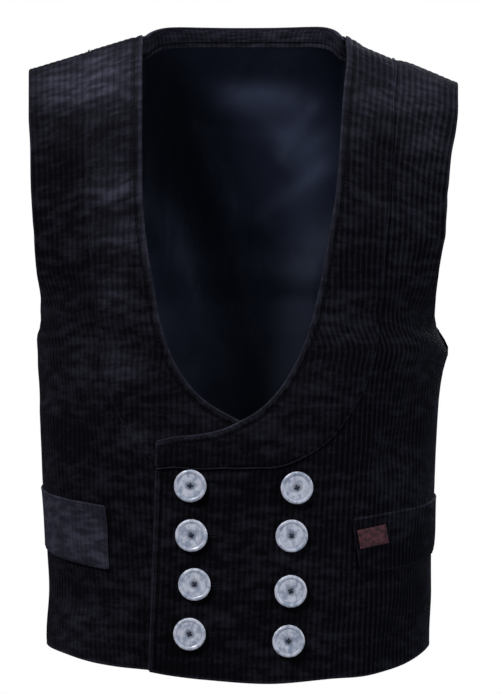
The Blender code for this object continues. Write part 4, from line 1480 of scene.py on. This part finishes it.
class Panel:
    """What a front and the back share: ribbed cloth on the form, with turned edges."""

    name: str
    phase: float
    row_step: float
    foot_rows: int
    hem_steps: int
    seed: int
    nap: float
    rests_on: tuple[str, ...]
    grain: Grain

    def start(self) -> float:
        """Distance across at which the panel starts."""
        raise NotImplementedError

    def hem_level(self, across: Array | float) -> Array:
        """Level of the hem at distances across."""
        raise NotImplementedError

    def outline(self) -> Array:
        """Closed outline that trims the grid."""
        raise NotImplementedError

    def stitched_lines(self) -> list[Array]:
        """Places along the edges that are turned and topstitched."""
        raise NotImplementedError

    def lift(self, points: Array) -> Array:
        """How far the panel stands off the form."""
        return np.zeros(points.shape[:-1])

    def armhole_line(self, side: float = 1.0) -> Array:
        """Places down an armhole to the underarm."""
        level = np.maximum(self.grain.level_at(np.linspace(0.0, self.grain.drop(UNDERARM), 120)), SEAM_LEVEL)
        return np.stack([side * self.grain.edge(level), level], axis=-1)

    def hem_run(self) -> Array:
        """Places along the hem."""
        across = np.linspace(self.start(), self.grain.width, self.hem_steps)
        return np.stack([across, self.hem_level(across)], axis=-1)

    def grid(self, columns: Array, row_step: float, short: float = 0.0) -> Array:
        """Set the places of a grid.

        Args:
            columns: Distances across of its columns.
            row_step: From one row to the next.
            short: How far above the hem it ends.

        Returns:
            The places, rows by columns.
        """
        start, end = self.grain.drop(SEAM_LEVEL), self.grain.drop(BEND)
        upper = self.grain.level_at(np.linspace(start, end, int((end - start) / row_step)))
        upper[0] = SEAM_LEVEL
        share = np.concatenate([np.linspace(0.0, 1.0, self.foot_rows)[1:-1], [0.965, 0.985, 1.0]])
        lower = BEND + share[:, None] * (self.hem_level(columns) - short - BEND)
        level = np.vstack([np.broadcast_to(upper[:, None], (len(upper), len(columns))), lower])
        return np.stack([np.broadcast_to(columns, level.shape), level], axis=-1)

    def build_panel(self, finishes: Finishes) -> Piece:
        """Make the panel from its ribbed grid.

        Args:
            finishes: The finishes.

        Returns:
            The piece.
        """
        columns = wale_columns(self.start(), self.grain.width, self.phase)
        cut = self.grain.cut(self.grid(columns, self.row_step), self.outline())
        lines = [self.grain.chart(line) for line in self.stitched_lines()]
        edge = np.minimum.reduce([line_distance(cut.chart, line) for line in lines])
        rise = cut.ribbed(self.phase, self.seed, sunk=0.0006) - dent(edge, 0.0009, 0.0016)
        rise -= dent(edge - EDGE_INSET, 0.0005, 0.0018)
        base = cut.points + cut.normals * self.lift(cut.points)[..., None]
        inner = base - cut.normals * (CORDUROY - np.where(cut.rim, 0.0005, 0.0))[..., None]
        # The patch mask paints sheen and shade on the fronts' pile, where it lies over; the back takes none.
        masks = {"edge": np.minimum(edge, EDGE_REACH), "nap": patch_light(cut.points) * self.nap}
        sheet = Sheet(self.name, base + cut.normals * rise[..., None], inner, cut.keep, cut.chart, masks)
        return sheet.build((finishes.cord, finishes.satin), "corduroy", "hung", self.rests_on)

    def line_on(self, line: Array, height: float, pitch: float = 0.0016) -> tuple[Array, Array, Array]:
        """Lay a line on the cloth, with even steps.

        Args:
            line: Places along it.
            height: Its height over the panel's face.
            pitch: Length of a step.

        Returns:
            Its points, their normals and its chart.
        """
        run = path_length(self.grain.chart(line))
        even = np.linspace(0.0, run[-1], max(4, int(run[-1] / pitch)))
        places = read_line(even, run, line)
        places[:, 1] = np.maximum(places[:, 1], SEAM_LEVEL)
        points, normals = self.grain.cloth(places)
        return points + normals * (self.lift(points) + height)[:, None], normals, self.grain.chart(places)

    def roll(
        self, label: str, line: Array, height: float, size: Pair, finish: Material, thin: Pair = (0.0, 0.0)
    ) -> Piece:
        """Turn an edge of the panel.

        Args:
            label: Name of the edge.
            line: Places along it.
            height: Height of its middle over the panel's face.
            size: Its half width and half height.
            finish: Its material.
            thin: Lengths over which its two ends get thinner.

        Returns:
            The piece.
        """
        return Roll(f"{self.name}_{label}", *self.line_on(line, height), size, thin).build(finish)


@dataclass
class Front(Panel):
    """One front with its neckline band, turned edges and topstitching."""

    name: str
    side: float
    neckline: Array
    band: Array
    hem: Array
    top: bool
    band_end: float = 1.0
    phase: float = 0.0
    band_phase: float = 0.002
    row_step: float = 0.0052
    band_step: float = 0.0026
    foot_rows: int = 15
    hem_steps: int = 80
    seed: int = 3
    nap: float = 1.0
    rests_on: tuple[str, ...] = ("back_cloth",)
    form: Form = field(default_factory=lambda: Form(False, np.vstack([FRONT_FOLDS, FRONT_CREASES])))

    def __post_init__(self) -> None:
        """Lay the wale lines and the panel's edges."""
        corner = (self.neckline[-1][0], -self.neckline[-1][1])
        self.grain = Grain(self.form, self.side, corner, (FREE_EDGE_FOOT, self.hem[0][1]))
        self.last = round(self.band_end * EDGE_STEPS) + 1
        shares = np.linspace(0.0, 1.0, EDGE_STEPS + 1)
        edge = even_curve(self.neckline, shares)
        near = unit(np.gradient(edge, axis=0))
        width = hermite(shares, *self.band.T)
        seam = edge + np.stack([-near[:, 1], near[:, 0]], axis=-1) * width[:, None]
        seam[0] = (edge[0, 0] + width[0], edge[0, 1])
        seam[-1] = (edge[-1, 0] - 0.001, edge[-1, 1] - width[-1])
        self.edge_line, self.seam_line = (self.grain.place(*line.T) for line in (edge, seam))
        for line in (self.edge_line, self.seam_line):
            line[0, 1] = SEAM_LEVEL
            line[-1, 0] = self.grain.free_edge
        x = self.hem[0, 0] + (self.hem[-1, 0] - self.hem[0, 0]) * np.linspace(0.0, 1.0, 60)
        self.hem_line = self.grain.settle(self.side * x, hermite(x, *self.hem.T))

    def lift(self, points: Array) -> Array:
        """How far this front stands off the form."""
        return top_front_lift(points) if self.top else super().lift(points)

    def start(self) -> float:
        """Distance across of the free edge."""
        return self.grain.free_edge

    def hem_level(self, across: Array | float) -> Array:
        """Level of the hem at distances across."""
        return np.interp(across, self.hem_line[:, 0], self.hem_line[:, 1])

    def outline(self) -> Array:
        """Set the outline that trims the grid at the neckline and the armhole.

        Returns:
            Places round it.
        """
        side, free, arm = self.grain.width + PAST, self.grain.free_edge - PAST, self.armhole_line()
        top = [(arm[0, 0], -PAST), (self.edge_line[0, 0], -PAST)]
        foot = [(free, self.edge_line[-1, 1]), (free, PAST_HEMS), (side, PAST_HEMS), (side, UNDERARM)]
        return np.vstack([top, self.edge_line, foot, arm[::-1]])

    def free_line(self) -> Array:
        """Places down the free edge, from the neckline's end to the hem."""
        level = np.linspace(self.edge_line[-1, 1], self.hem_level(self.grain.free_edge), 40)
        return np.stack([np.full_like(level, self.grain.free_edge), level], axis=-1)

    def stitched_lines(self) -> list[Array]:
        """Places along the neckline and the free edge."""
        return [self.edge_line, self.free_line()]

    def build_band(self, finishes: Finishes) -> Piece:
        """Make the band that lies along the neckline.

        Args:
            finishes: The finishes.

        Returns:
            The piece.
        """
        grain, whole = self.grain, self.band_end == 1.0
        edge_line, seam_line = self.edge_line[: self.last], self.seam_line[: self.last]
        past = grain.free_edge - PAST
        end = np.array([(past, edge_line[-1, 1]), (past, seam_line[-1, 1])] if whole else []).reshape(-1, 2)
        top = [(seam_line[0, 0], -PAST), (edge_line[0, 0], -PAST)]
        outline = np.vstack([top, edge_line, end, seam_line[::-1]])
        free = grain.free_edge if whole else float(outline[:, 0].min()) - 0.001
        columns = wale_columns(free, float(outline[:, 0].max()) + 0.001, self.band_phase)
        lowest = grain.drop(outline[:, 1].max()) + self.band_step
        drops = np.arange(grain.drop(SEAM_LEVEL), lowest, self.band_step)
        levels = np.maximum(grain.level_at(drops), SEAM_LEVEL)
        cut = grain.cut(np.stack(np.meshgrid(columns, levels), axis=-1), outline)
        charts = grain.chart(edge_line), grain.chart(seam_line)
        edge, seam = (line_distance(cut.chart, line) for line in charts)
        rise = cut.ribbed(self.band_phase, seed=5, share=0.92) - dent(seam, 0.0006, 0.0018)
        rise -= dent(edge - EDGE_INSET, 0.0006, 0.0019)
        settled = 0.30 + 0.70 * smooth_step(cut.places[..., 1], 0.0, SHOULDER_SETTLING)
        base = cut.points + cut.normals * (self.lift(cut.points) + BAND_STACK * settled)[..., None]
        # The band takes the patches' painted sheen and shade too.
        masks = {"edge": np.minimum(edge, EDGE_REACH), "nap": patch_light(cut.points)}
        outer, inner = base + cut.normals * rise[..., None], base - cut.normals * BAND_CLOTH
        sheet = Sheet(self.name.replace("front", "neck_band"), outer, inner, cut.keep, cut.chart, masks)
        run, area = float(path_length((charts[0] + charts[1]) / 2)[-1]), sheet.flat_size()[2]
        size = (STRIP_SPARE * area / run, run, area)
        return sheet.build((finishes.band, finishes.band), "corduroy", "laid", [f"{self.name}_cloth"], size)

    def build_rolls(self, finishes: Finishes) -> list[Piece]:
        """Make the turned edges of the front and of its band.

        Args:
            finishes: The finishes.

        Returns:
            The pieces.
        """
        thick, plain = (CORDUROY + BAND_STACK) / 2, CORDUROY / 2 + 0.0001
        half, over = -CORDUROY / 2, (BAND_STACK - CORDUROY) / 2
        edge = self.edge_line[1 : self.last]
        seam = self.seam_line[: BAND_FOOT if self.top else self.last]
        settling = (SHOULDER_SETTLING, 0.0)
        made = [
            self.roll("neck_edge", edge, over, (0.0012, thick), finishes.edge, settling),
            self.roll("armhole_edge", self.armhole_line(), half, (0.0013, plain), finishes.cord),
            self.roll("hem_edge", self.hem_run(), half, (0.0013, plain), finishes.cord),
            self.roll("band_seam", seam, BAND_STACK - 0.0012, (0.0006, 0.0005), finishes.cord),
        ]
        if self.top:
            down, foot = self.free_line(), self.seam_line[BAND_FOOT - 1 :]
            below = down[:, 1] > self.seam_line[-1, 1]
            made += [
                self.roll("band_foot", foot, BAND_STACK - 0.0008, (0.0006, 0.0005), finishes.edge),
                self.roll("free_edge", down[below], half, (0.0012, plain), finishes.edge),
                self.roll("band_end", down[~below], over, (0.0012, thick), finishes.edge),
            ]
        return made

    def inset(self, line: Array, by: float) -> Array:
        """Move a line sideways over the flat cloth.

        Args:
            line: Places along it.
            by: How far.

        Returns:
            Its new places.
        """
        chart = self.grain.chart(line)
        near = unit(np.gradient(chart, axis=0))
        moved = chart + np.stack([near[:, 1], -near[:, 0]], axis=-1) * by
        return np.stack([moved[:, 0], self.grain.level_at(np.maximum(moved[:, 1], 0.0))], axis=-1)

    def build_stitches(self, finishes: Finishes) -> Piece:
        """Make the topstitching inside the turned edges.

        Args:
            finishes: The finishes.

        Returns:
            The piece.
        """
        work = Stitching(f"{self.name}_topstitching")
        rows = [(self.edge_line[3 : self.last], BAND_STACK - 0.0004)]
        if self.top:
            rows.append((self.free_line()[5:-3], -0.0004))
        for line, height in rows:
            work.along(*self.line_on(self.inset(line, EDGE_INSET), height, pitch=0.002)[:2])
        return work.build(finishes.thread)

    def build(self, finishes: Finishes) -> list[Piece]:
        """Make the whole front."""
        panel, band = self.build_panel(finishes), self.build_band(finishes)
        return [panel, band, *self.build_rolls(finishes), self.build_stitches(finishes)]


@dataclass
class Back(Panel):
    """The back with its satin lining, the facing inside the neck and its turned edges."""

    name: str = "back"
    phase: float = 0.5 * WALE
    row_step: float = 0.0068
    foot_rows: int = 12
    hem_steps: int = 120
    seed: int = 9
    nap: float = 0.0
    rests_on: tuple[str, ...] = ()
    form: Form = field(default_factory=lambda: Form(True, np.vstack([BACK_FOLDS, BACK_CREASES])))

    def __post_init__(self) -> None:
        """Lay the wale lines and the back neck edge."""
        self.grain = Grain(self.form)
        ends = self.grain.measure(np.array([NECK_HALF]), np.array([SEAM_LEVEL]))
        across = np.linspace(-float(ends[0]), float(ends[0]), 80)
        self.neck_line = np.stack([across, np.full_like(across, SEAM_LEVEL)], axis=-1)

    def start(self) -> float:
        """Distance across of the wearer's right side."""
        return -self.grain.width

    def hem_level(self, across: Array | float) -> Array:
        """Level of the hem at distances across."""
        return BACK_HEM_MIDDLE + (BACK_HEM_SIDE - BACK_HEM_MIDDLE) * (np.abs(across) / self.grain.width) ** 3

    def outline(self) -> Array:
        """Set the outline that trims the grid at the armholes.

        Returns:
            Places round it.
        """
        width, (one, other) = self.grain.width + PAST, (self.armhole_line(side) for side in (1.0, -1.0))
        foot = [(-width, UNDERARM), (-width, PAST_HEMS), (width, PAST_HEMS), (width, UNDERARM)]
        return np.vstack([[(one[0, 0], -PAST), (other[0, 0], -PAST)], other, foot, one[::-1]])

    def stitched_lines(self) -> list[Array]:
        """Places along the back neck edge."""
        return [self.neck_line]

    def build_lining(self, finishes: Finishes) -> Piece:
        """Make the satin lining, which hangs loosely inside the back.

        Args:
            finishes: The finishes.

        Returns:
            The piece.
        """
        width, end = self.grain.width - 0.001, self.neck_line[-1, 0]
        notch = [(end, -PAST), (end, BACK_FACING_LEVEL), (-end, BACK_FACING_LEVEL), (-end, -PAST)]
        outline = self.outline()
        outline = np.vstack([outline[:1], notch, outline[1:]])
        cut = self.grain.cut(self.grid(np.linspace(-width, width, 150), 0.0050, short=0.008), outline)
        puff = np.abs(relief(cut.points, LINING_CREASES)) * smooth_step(cut.chart[..., 1], 0.02, 0.07)
        outer = cut.points - cut.normals * (CORDUROY + LAY_GAP + puff)[..., None]
        # The patches paint a highlight on the upper back of the lining.
        masks = {"shine": np.clip(patch_light(cut.points, PAINTED_SHINE_PATCHES), 0.0, 1.0)}
        sheet = Sheet("back_lining", outer, outer - cut.normals * SATIN, cut.keep, cut.chart, masks)
        return sheet.build((finishes.satin, finishes.satin), "lining", "hung", ["back_cloth"])

    def build_facing(self, finishes: Finishes) -> Piece:
        """Make the strip of corduroy inside the back neck.

        Args:
            finishes: The finishes.

        Returns:
            The piece.
        """
        grain, end = self.grain, self.neck_line[-1, 0] - 0.0005
        lowest = grain.drop(BACK_FACING_LEVEL) - 0.0004
        levels = grain.level_at(np.linspace(grain.drop(SEAM_LEVEL), lowest, 14))
        levels[0] = SEAM_LEVEL
        cut = grain.cut(np.stack(np.meshgrid(wale_columns(-end, end, self.phase), levels), axis=-1))
        run = cut.chart[..., 1] - cut.chart[0, 0, 1]
        left = run.max() - run
        rise = cut.ribbed(self.phase, seed=11, share=0.8) - dent(left - EDGE_INSET, 0.0005, 0.0016)
        under = CORDUROY + LAY_GAP
        outer = cut.points - cut.normals * (under + BAND_CLOTH + rise)[..., None]
        # A constant 0.55 on the patch mask paints light over the whole facing, which lies in shade.
        masks = {"edge": np.minimum(np.minimum(run, left), EDGE_REACH), "nap": np.full(run.shape, 0.55)}
        sheet = Sheet("neck_facing", outer, cut.points - cut.normals * under, cut.keep, cut.chart, masks)
        ways = (cut.points.transpose(1, 0, 2), cut.points)
        wide, deep = (float(path_length(points)[-1].mean()) for points in ways)
        size = (wide, deep, wide * deep)
        return sheet.build((finishes.band, finishes.band), "corduroy", "laid", ["back_cloth"], size)

    def build(self, finishes: Finishes) -> list[Piece]:
        """Make the whole back.

        Args:
            finishes: The finishes.

        Returns:
            The pieces.
        """
        made = [self.build_panel(finishes), self.build_lining(finishes), self.build_facing(finishes)]
        stack = CORDUROY + LAY_GAP + BAND_CLOTH
        settling = (SHOULDER_SETTLING, SHOULDER_SETTLING)
        for label, line, thick, thin in (
            ("armhole_edge_left", self.armhole_line(), CORDUROY, (0.0, 0.0)),
            ("armhole_edge_right", self.armhole_line(-1.0), CORDUROY, (0.0, 0.0)),
            ("hem_edge", self.hem_run(), CORDUROY, (0.0, 0.0)),
            ("neck_edge", self.neck_line[2:-2], stack, settling),
        ):
            made.append(self.roll(label, line, -thick / 2, (0.0013, thick / 2 + 0.0001), finishes.edge, thin))
        return made


@dataclass
class PocketWelt:
    """A slanted pocket welt with its turned top edge."""

    name: str
    front: Front
    corners: tuple[Pair, Pair]
    seam_ends: Pair
    # When true the welt takes the lighter finish, with painted sheen on its pile.
    sheen_lit: bool
    phase: float = 0.0013

    def stack(self, points: Array) -> Array:
        """Height of the welt's face over the front: less towards the side seam."""
        return WELT_GAP * (1 - smooth_step(np.abs(points[..., 0]), *SEAM_FLATTENING)) + BAND_CLOTH

    def build(self, finishes: Finishes) -> list[Piece]:
        """Make the welt, its edges and its stitches.

        Args:
            finishes: The finishes.

        Returns:
            The pieces.
        """
        front, grain = self.front, self.front.grain
        inner_top, inner_foot = grain.place(*np.array(self.corners).T)
        seam_top, seam_foot = ((grain.width, -end) for end in self.seam_ends)
        corner = np.array([inner_top, seam_top, seam_foot, inner_foot])
        columns = wale_columns(float(corner[:, 0].min() - 0.001), grain.width, self.phase)
        levels = np.linspace(corner[:, 1].min() - 0.002, corner[:, 1].max() + 0.002, 34)
        outline = corner.copy()
        for inner, seam in ((0, 1), (3, 2)):
            way = corner[seam] - corner[inner]
            outline[seam] += (PAST, way[1] * PAST / way[0])
        cut = grain.cut(np.stack(np.meshgrid(columns, levels), axis=-1), outline)
        rise = cut.ribbed(self.phase, seed=7, share=0.85)
        base = cut.points + cut.normals * (front.lift(cut.points) + self.stack(cut.points))[..., None]
        # The welt takes the patches' painted sheen and shade; its far edge mask leaves out the edge highlight
        # and groove shade.
        masks = {"edge": np.full(rise.shape, EDGE_REACH), "nap": patch_light(cut.points)}
        outer, inner = base + cut.normals * rise[..., None], base - cut.normals * BAND_CLOTH
        finish = finishes.flap if self.sheen_lit else finishes.band
        sheet = Sheet(self.name, outer, inner, cut.keep, cut.chart, masks)
        made = [sheet.build((finish, finish), "corduroy", "laid", [f"{front.name}_cloth"])]
        for label, ends, sunk, size, thin in (
            ("top_edge", (0, 1), 0.0009, (0.0013, 0.0011), (0.002, 0.016)),
            ("end_edge", (3, 0), 0.0012, (0.0006, 0.0007), (0.002, 0.002)),
            ("foot_edge", (2, 3), 0.0012, (0.0006, 0.0006), (0.016, 0.002)),
        ):
            points, normals, flat = front.line_on(np.linspace(*corner[list(ends)], 12), 0.0)
            points += normals * (self.stack(points) - sunk)[:, None]
            made.append(Roll(f"{self.name}_{label}", points, normals, flat, size, thin).build(finish))
        row = front.inset(np.linspace(corner[3], corner[0], 12), -0.0024)
        points, normals, _ = front.line_on(row, WELT_GAP + BAND_CLOTH - 0.0003)
        work = Stitching(f"{self.name}_stitching")
        work.along(points[2:-2], normals[2:-2])
        return [*made, work.build(finishes.thread)]


@dataclass
class WeltLabel:
    """The small bare label on the left welt, with its ends turned under."""

    front: Front
    centre: Pair = (0.1066, -0.4301)
    size: Pair = (0.0246, 0.0158)
    tilt: float = math.radians(10.0)
    turned: float = 0.0016  # from an end to its row of stitches

    def at(self, u: Array, v: Array) -> tuple[Array, Array]:
        """Find the welt's face under the label.

        Args:
            u: Distances across from the label's middle.
            v: Distances up from it.

        Returns:
            Points and outward normals.
        """
        x = self.centre[0] + u * math.cos(self.tilt) - v * math.sin(self.tilt)
        z = self.centre[1] + u * math.sin(self.tilt) + v * math.cos(self.tilt)
        points, normals = self.front.form.cloth(*self.front.form.find(x, z))
        lift = WELT_GAP + BAND_CLOTH + LAY_GAP + top_front_lift(points)
        return points + normals * lift[..., None], normals

    def build(self, finishes: Finishes) -> list[Piece]:
        """Make the label and the stitches at its ends.

        Args:
            finishes: The finishes.

        Returns:
            The pieces.
        """
        half, high = self.size[0] / 2, self.size[1] / 2
        u, v = np.meshgrid(np.linspace(-half, half, 41), np.linspace(high, -high, 27))
        points, normals = self.at(u, v)
        past = half - np.abs(u)
        rise = LABEL_CLOTH - dent(np.minimum(past, high - np.abs(v)), 0.0005, 0.0008)
        rise += 0.00018 * np.sin(u * 520 + 1.0) * np.sin(v * 300)
        rise -= dent(past - self.turned, 0.00025, 0.0007)
        keep, chart = np.ones((26, 40), dtype=bool), np.stack([u, v], axis=-1)
        sheet = Sheet("welt_label", points + normals * rise[..., None], points, keep, chart, {})
        label = sheet.build((finishes.tape, finishes.tape), "label", "laid", ["pocket_welt_left_cloth"])
        work = Stitching("welt_label_stitching")
        for end in (-1.0, 1.0):
            line = np.linspace(-0.44, 0.44, 30) * self.size[1]
            points, normals = self.at(np.full(30, end * (half - self.turned)), line)
            points += normals * (LABEL_CLOTH - 0.0001)
            work.along(points, normals, (0.0009, 0.00022, 0.00022), 0.0024)
        return [label, work.build(finishes.thread)]


@dataclass
class ShellButton:
    """A four-hole shell button, sewn on over a short shank of thread."""

    radius: float = BUTTON_RADIUS
    thick: float = BUTTON_THICK
    hole: float = 0.0008
    hole_spread: float = 0.0016
    sides: int = 56
    profile: tuple[Pair, ...] = (
        (0.00, 0.62), (0.14, 0.625), (0.23, 0.65), (0.31, 0.71), (0.38, 0.775), (0.46, 0.805),
        (0.62, 0.82), (0.70, 0.83), (0.745, 0.79), (0.775, 0.82), (0.81, 0.94), (0.86, 1.00),
        (0.92, 0.985), (0.965, 0.90), (0.99, 0.76), (1.00, 0.62), (0.985, 0.44), (0.93, 0.20),
        (0.84, 0.06), (0.72, 0.00), (0.30, 0.00), (0.00, 0.00),
    )

    def blank(self) -> bpy.types.Mesh:
        """Turn the profile, bore the four thread holes and chart its face.

        Returns:
            The mesh of a button.
        """
        shape = bmesh.new()
        line = [shape.verts.new((r * self.radius, 0.0, h * self.thick)) for r, h in self.profile]
        edges = [shape.edges.new(pair) for pair in zip(line, line[1:])]
        around = {"cent": (0.0, 0.0, 0.0), "axis": (0.0, 0.0, 1.0), "angle": math.tau, "use_merge": True}
        bmesh.ops.spin(shape, geom=line + edges, steps=self.sides, **around)
        bmesh.ops.remove_doubles(shape, verts=shape.verts, dist=1e-7)
        bmesh.ops.recalc_face_normals(shape, faces=shape.faces)
        disc = link("button_blank", from_bmesh("button_blank", shape), [])
        pins = bmesh.new()
        sizes = {"radius1": self.hole, "radius2": self.hole, "depth": 4 * self.thick, "segments": 14}
        for spot in self.hole_spots():
            bmesh.ops.create_cone(pins, cap_ends=True, matrix=Matrix.Translation(spot), **sizes)
        cutter = link("button_pins", from_bmesh("button_pins", pins), [])
        bore = disc.modifiers.new("bore", "BOOLEAN")
        bore.operation = "DIFFERENCE"
        bore.object = cutter
        mesh = bpy.data.meshes.new_from_object(disc.evaluated_get(bpy.context.evaluated_depsgraph_get()))
        for spare in (disc, cutter):
            bpy.data.objects.remove(spare, do_unlink=True)
        layer = mesh.uv_layers.new(name="face")
        for loop in mesh.loops:
            layer.data[loop.index].uv = mesh.vertices[loop.vertex_index].co.xy
        mesh.shade_smooth()
        mesh.set_sharp_from_angle(angle=math.radians(42))
        return mesh

    def hole_spots(self) -> list[Vector]:
        """Middles of the four holes."""
        angles = [math.pi / 4 + quarter * math.pi / 2 for quarter in range(4)]
        return [Vector((math.cos(a), math.sin(a), 0.0)) * self.hole_spread for a in angles]

    def threads(self) -> list[tuple[Vector, Vector, Triple]]:
        """Set the threads that hold the button: crossed on its face, down its holes and its shank.

        Returns:
            The middle, direction and half sizes of each.
        """
        spots = self.hole_spots()
        made = []
        for first in (0, 1):
            across = spots[first + 2] - spots[first]
            for shift in (-0.00024, 0.00024):
                beside = Vector((-across.y, across.x, 0.0)).normalized() * shift
                high = Vector((0.0, 0.0, 0.66 * self.thick + 0.00025 * first))
                made.append((beside + high, across, (across.length / 2 + 0.0003, 0.00022, 0.00024)))
        for spot in spots:
            middle = Vector((spot.x, spot.y, 0.25 * self.thick))
            made.append((middle, Vector((0.0, 0.0, 1.0)), (0.0013, 0.0005, 0.0005)))
        for number in range(5):
            turn = number * math.tau / 5
            spot = Vector((math.cos(turn), math.sin(turn), 0.0)) * 0.0012 + Vector((0, 0, -0.0007))
            made.append((spot, Vector((0.1, 0.1, 1.0)), (0.0010, 0.0006, 0.0006)))
        return made


@dataclass
class ButtonSet:
    """All eight buttons, with their threads and the four worked buttonholes."""

    front: Front
    button: ShellButton = field(default_factory=ShellButton)

    def seat(self, centre: Array) -> tuple[Vector, Matrix]:
        """Set where a button stands and how it is turned.

        Args:
            centre: Where it is seen from the front.

        Returns:
            Its middle and its turn.
        """
        point, normal = self.front.form.cloth(*self.front.form.find(*centre))
        height = float(top_front_lift(point)) + BUTTON_STAND
        return Vector(point + normal * height), Vector(normal).to_track_quat("Z", "Y").to_matrix().to_4x4()

    def build(self, finishes: Finishes) -> list[Piece]:
        """Make the buttons, their threads and the buttonholes.

        Args:
            finishes: The finishes.

        Returns:
            The pieces.
        """
        made = []
        blank = self.button.blank()
        for prefix, centres, start in (("under", BUTTONS_UNDER, 17.0), ("over", BUTTONS_OVER, 41.0)):
            for number, centre in enumerate(centres, start=1):
                name = f"button_{prefix}_{number}"
                spot, aim = self.seat(centre)
                turned = aim @ Matrix.Rotation(math.radians(start + 23.0 * number), 4, "Z")
                mesh = blank.copy()
                mesh.transform(Matrix.Translation(spot) @ turned)
                piece = keep_on_body(link(f"{name}_shell", mesh, [finishes.shell]))
                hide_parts(name)
                work = Stitching(f"{name}_thread")
                for middle, along, size in self.button.threads():
                    up = turned @ Vector((0, 0, 1) if abs(along.z) < 0.5 else (1, 0, 0))
                    work.place(spot + turned @ middle, turned @ along, up, size)
                made += [piece, work.build(finishes.shank)]
        return [*made, self.buttonholes(finishes)]

    def buttonholes(self, finishes: Finishes) -> Piece:
        """Work a buttonhole behind each button of the lower front.

        Args:
            finishes: The finishes.

        Returns:
            The piece.
        """
        work = Stitching("worked_buttonholes")
        for centre in BUTTONS_UNDER:
            x = np.linspace(centre[0] - 0.004, centre[0] + 0.0205, 50)
            for lip in (-1.0, 1.0):
                z = np.full_like(x, centre[1] - 0.0004) + lip * 0.0010
                points, normals = self.front.form.cloth(*self.front.form.find(x, z))
                raised = points + normals * (top_front_lift(points) - 0.0001)[:, None]
                for here, up in zip(raised, normals):
                    work.place(here, (0.12 * lip, 0.0, 1.0), up, (0.0010, 0.00026, 0.00034))
        return work.build(finishes.thread)


# ---------------------------------------------------------------- studio


@dataclass(frozen=True)
class Studio:
    """Pale floor and backdrop, soft light and the camera."""

    scale: float = 0.00087
    distance: float = 2.8
    middle: Pair = (0.005655, -0.27144)
    frame_high: int = 694
    sensor: float = 24.0
    floor: float = -2.6
    lamps: tuple[tuple[str, Triple, float, float, Triple], ...] = (
        ("key_light", (-1.35, -1.7, 1.45), 0.9, 64.0, (0.93, 0.95, 1.0)),
        ("side_light", (2.4, -0.9, 0.25), 1.3, 32.0, (0.84, 0.91, 1.0)),
        ("top_light", (-0.1, 0.2, 1.9), 1.0, 38.0, (0.88, 0.93, 1.0)),
        ("back_light", (1.1, 2.5, 0.8), 1.2, 34.0, (0.90, 0.94, 1.0)),
    )

    def stage(self) -> None:
        """Make the floor."""
        shape = bmesh.new()
        bmesh.ops.create_grid(shape, x_segments=2, y_segments=2, size=3.0)
        bmesh.ops.translate(shape, verts=shape.verts, vec=(0.0, 0.0, self.floor))
        link("studio_floor", from_bmesh("studio_floor", shape), [Finish("pale_paper").material()])

    def lights(self) -> None:
        """Aim square soft lamps at the garment."""
        for name, place, size, power, tint in self.lamps:
            light = bpy.data.lights.new(name, "AREA")
            light.shape = "SQUARE"
            light.size, light.energy, light.color = size, power, tint
            lamp = bpy.data.objects.new(name, light)
            lamp.location = place
            aim = Vector((0.0, 0.0, -0.2)) - Vector(place)
            lamp.rotation_euler = aim.to_track_quat("-Z", "Y").to_euler()
            bpy.context.scene.collection.objects.link(lamp)

    def world(self) -> None:
        """Set a dim cool sky, which the camera sees as a white backdrop."""
        world = bpy.data.worlds.new("studio")
        world.use_nodes = True
        recipe, nodes = Recipe(world.node_tree), world.node_tree.nodes
        recipe.fill(nodes["Background"], {"Color": (0.80, 0.88, 1.0, 1.0), "Strength": 0.045})
        white = recipe.read("ShaderNodeBackground", 0, {"Color": (1.0, 1.0, 1.0, 1.0)})
        seen = recipe.read("ShaderNodeLightPath", "Is Camera Ray", {})
        plain = Value(recipe, nodes["Background"].outputs[0])
        choice = recipe.read("ShaderNodeMixShader", 0, {0: seen, 1: plain, 2: white})
        recipe.fill(nodes["World Output"], {"Surface": choice})
        bpy.context.scene.world = world

    def camera(self) -> None:
        """Set the camera at the photograph's angle."""
        lens = bpy.data.cameras.new("camera")
        lens.sensor_fit = "VERTICAL"
        lens.sensor_height = self.sensor
        lens.lens = self.sensor * self.distance / (self.frame_high * self.scale)
        camera = bpy.data.objects.new("camera", lens)
        camera.location = (self.middle[0], -self.distance, self.middle[1])
        camera.rotation_euler = (math.pi / 2, 0.0, 0.0)
        bpy.context.scene.collection.objects.link(camera)
        bpy.context.scene.camera = camera

    def build(self) -> None:
        """Set up the whole studio."""
        for step in (self.stage, self.world, self.lights, self.camera):
            step()
        bpy.context.scene.view_settings.view_transform = "Standard"


def main() -> None:
    """Build the waistcoat and its studio."""
    logging.basicConfig(level=logging.INFO, format="%(name)s: %(message)s")
    finishes = Finishes()
    right = Front("front_right", -1.0, NECKLINE_UNDER, BAND_UNDER, HEM_UNDER, top=False, band_end=0.88)
    left = Front("front_left", 1.0, NECKLINE_OVER, BAND_OVER, HEM_OVER, top=True, phase=0.001)
    left_corners = ((0.0902, -0.4157), (0.0977, -0.4609))
    left_welt = PocketWelt("pocket_welt_left", left, left_corners, (-0.3990, -0.4467), sheen_lit=False)
    right_corners = ((0.1153, -0.4055), (0.1120, -0.4576))
    right_welt = PocketWelt("pocket_welt_right", right, right_corners, (-0.3913, -0.4414), sheen_lit=True)
    for part in (right, left, Back(), left_welt, right_welt, WeltLabel(left), ButtonSet(left)):
        report(part.build(finishes))
    Studio().build()


if __name__ == "__main__":
    main()
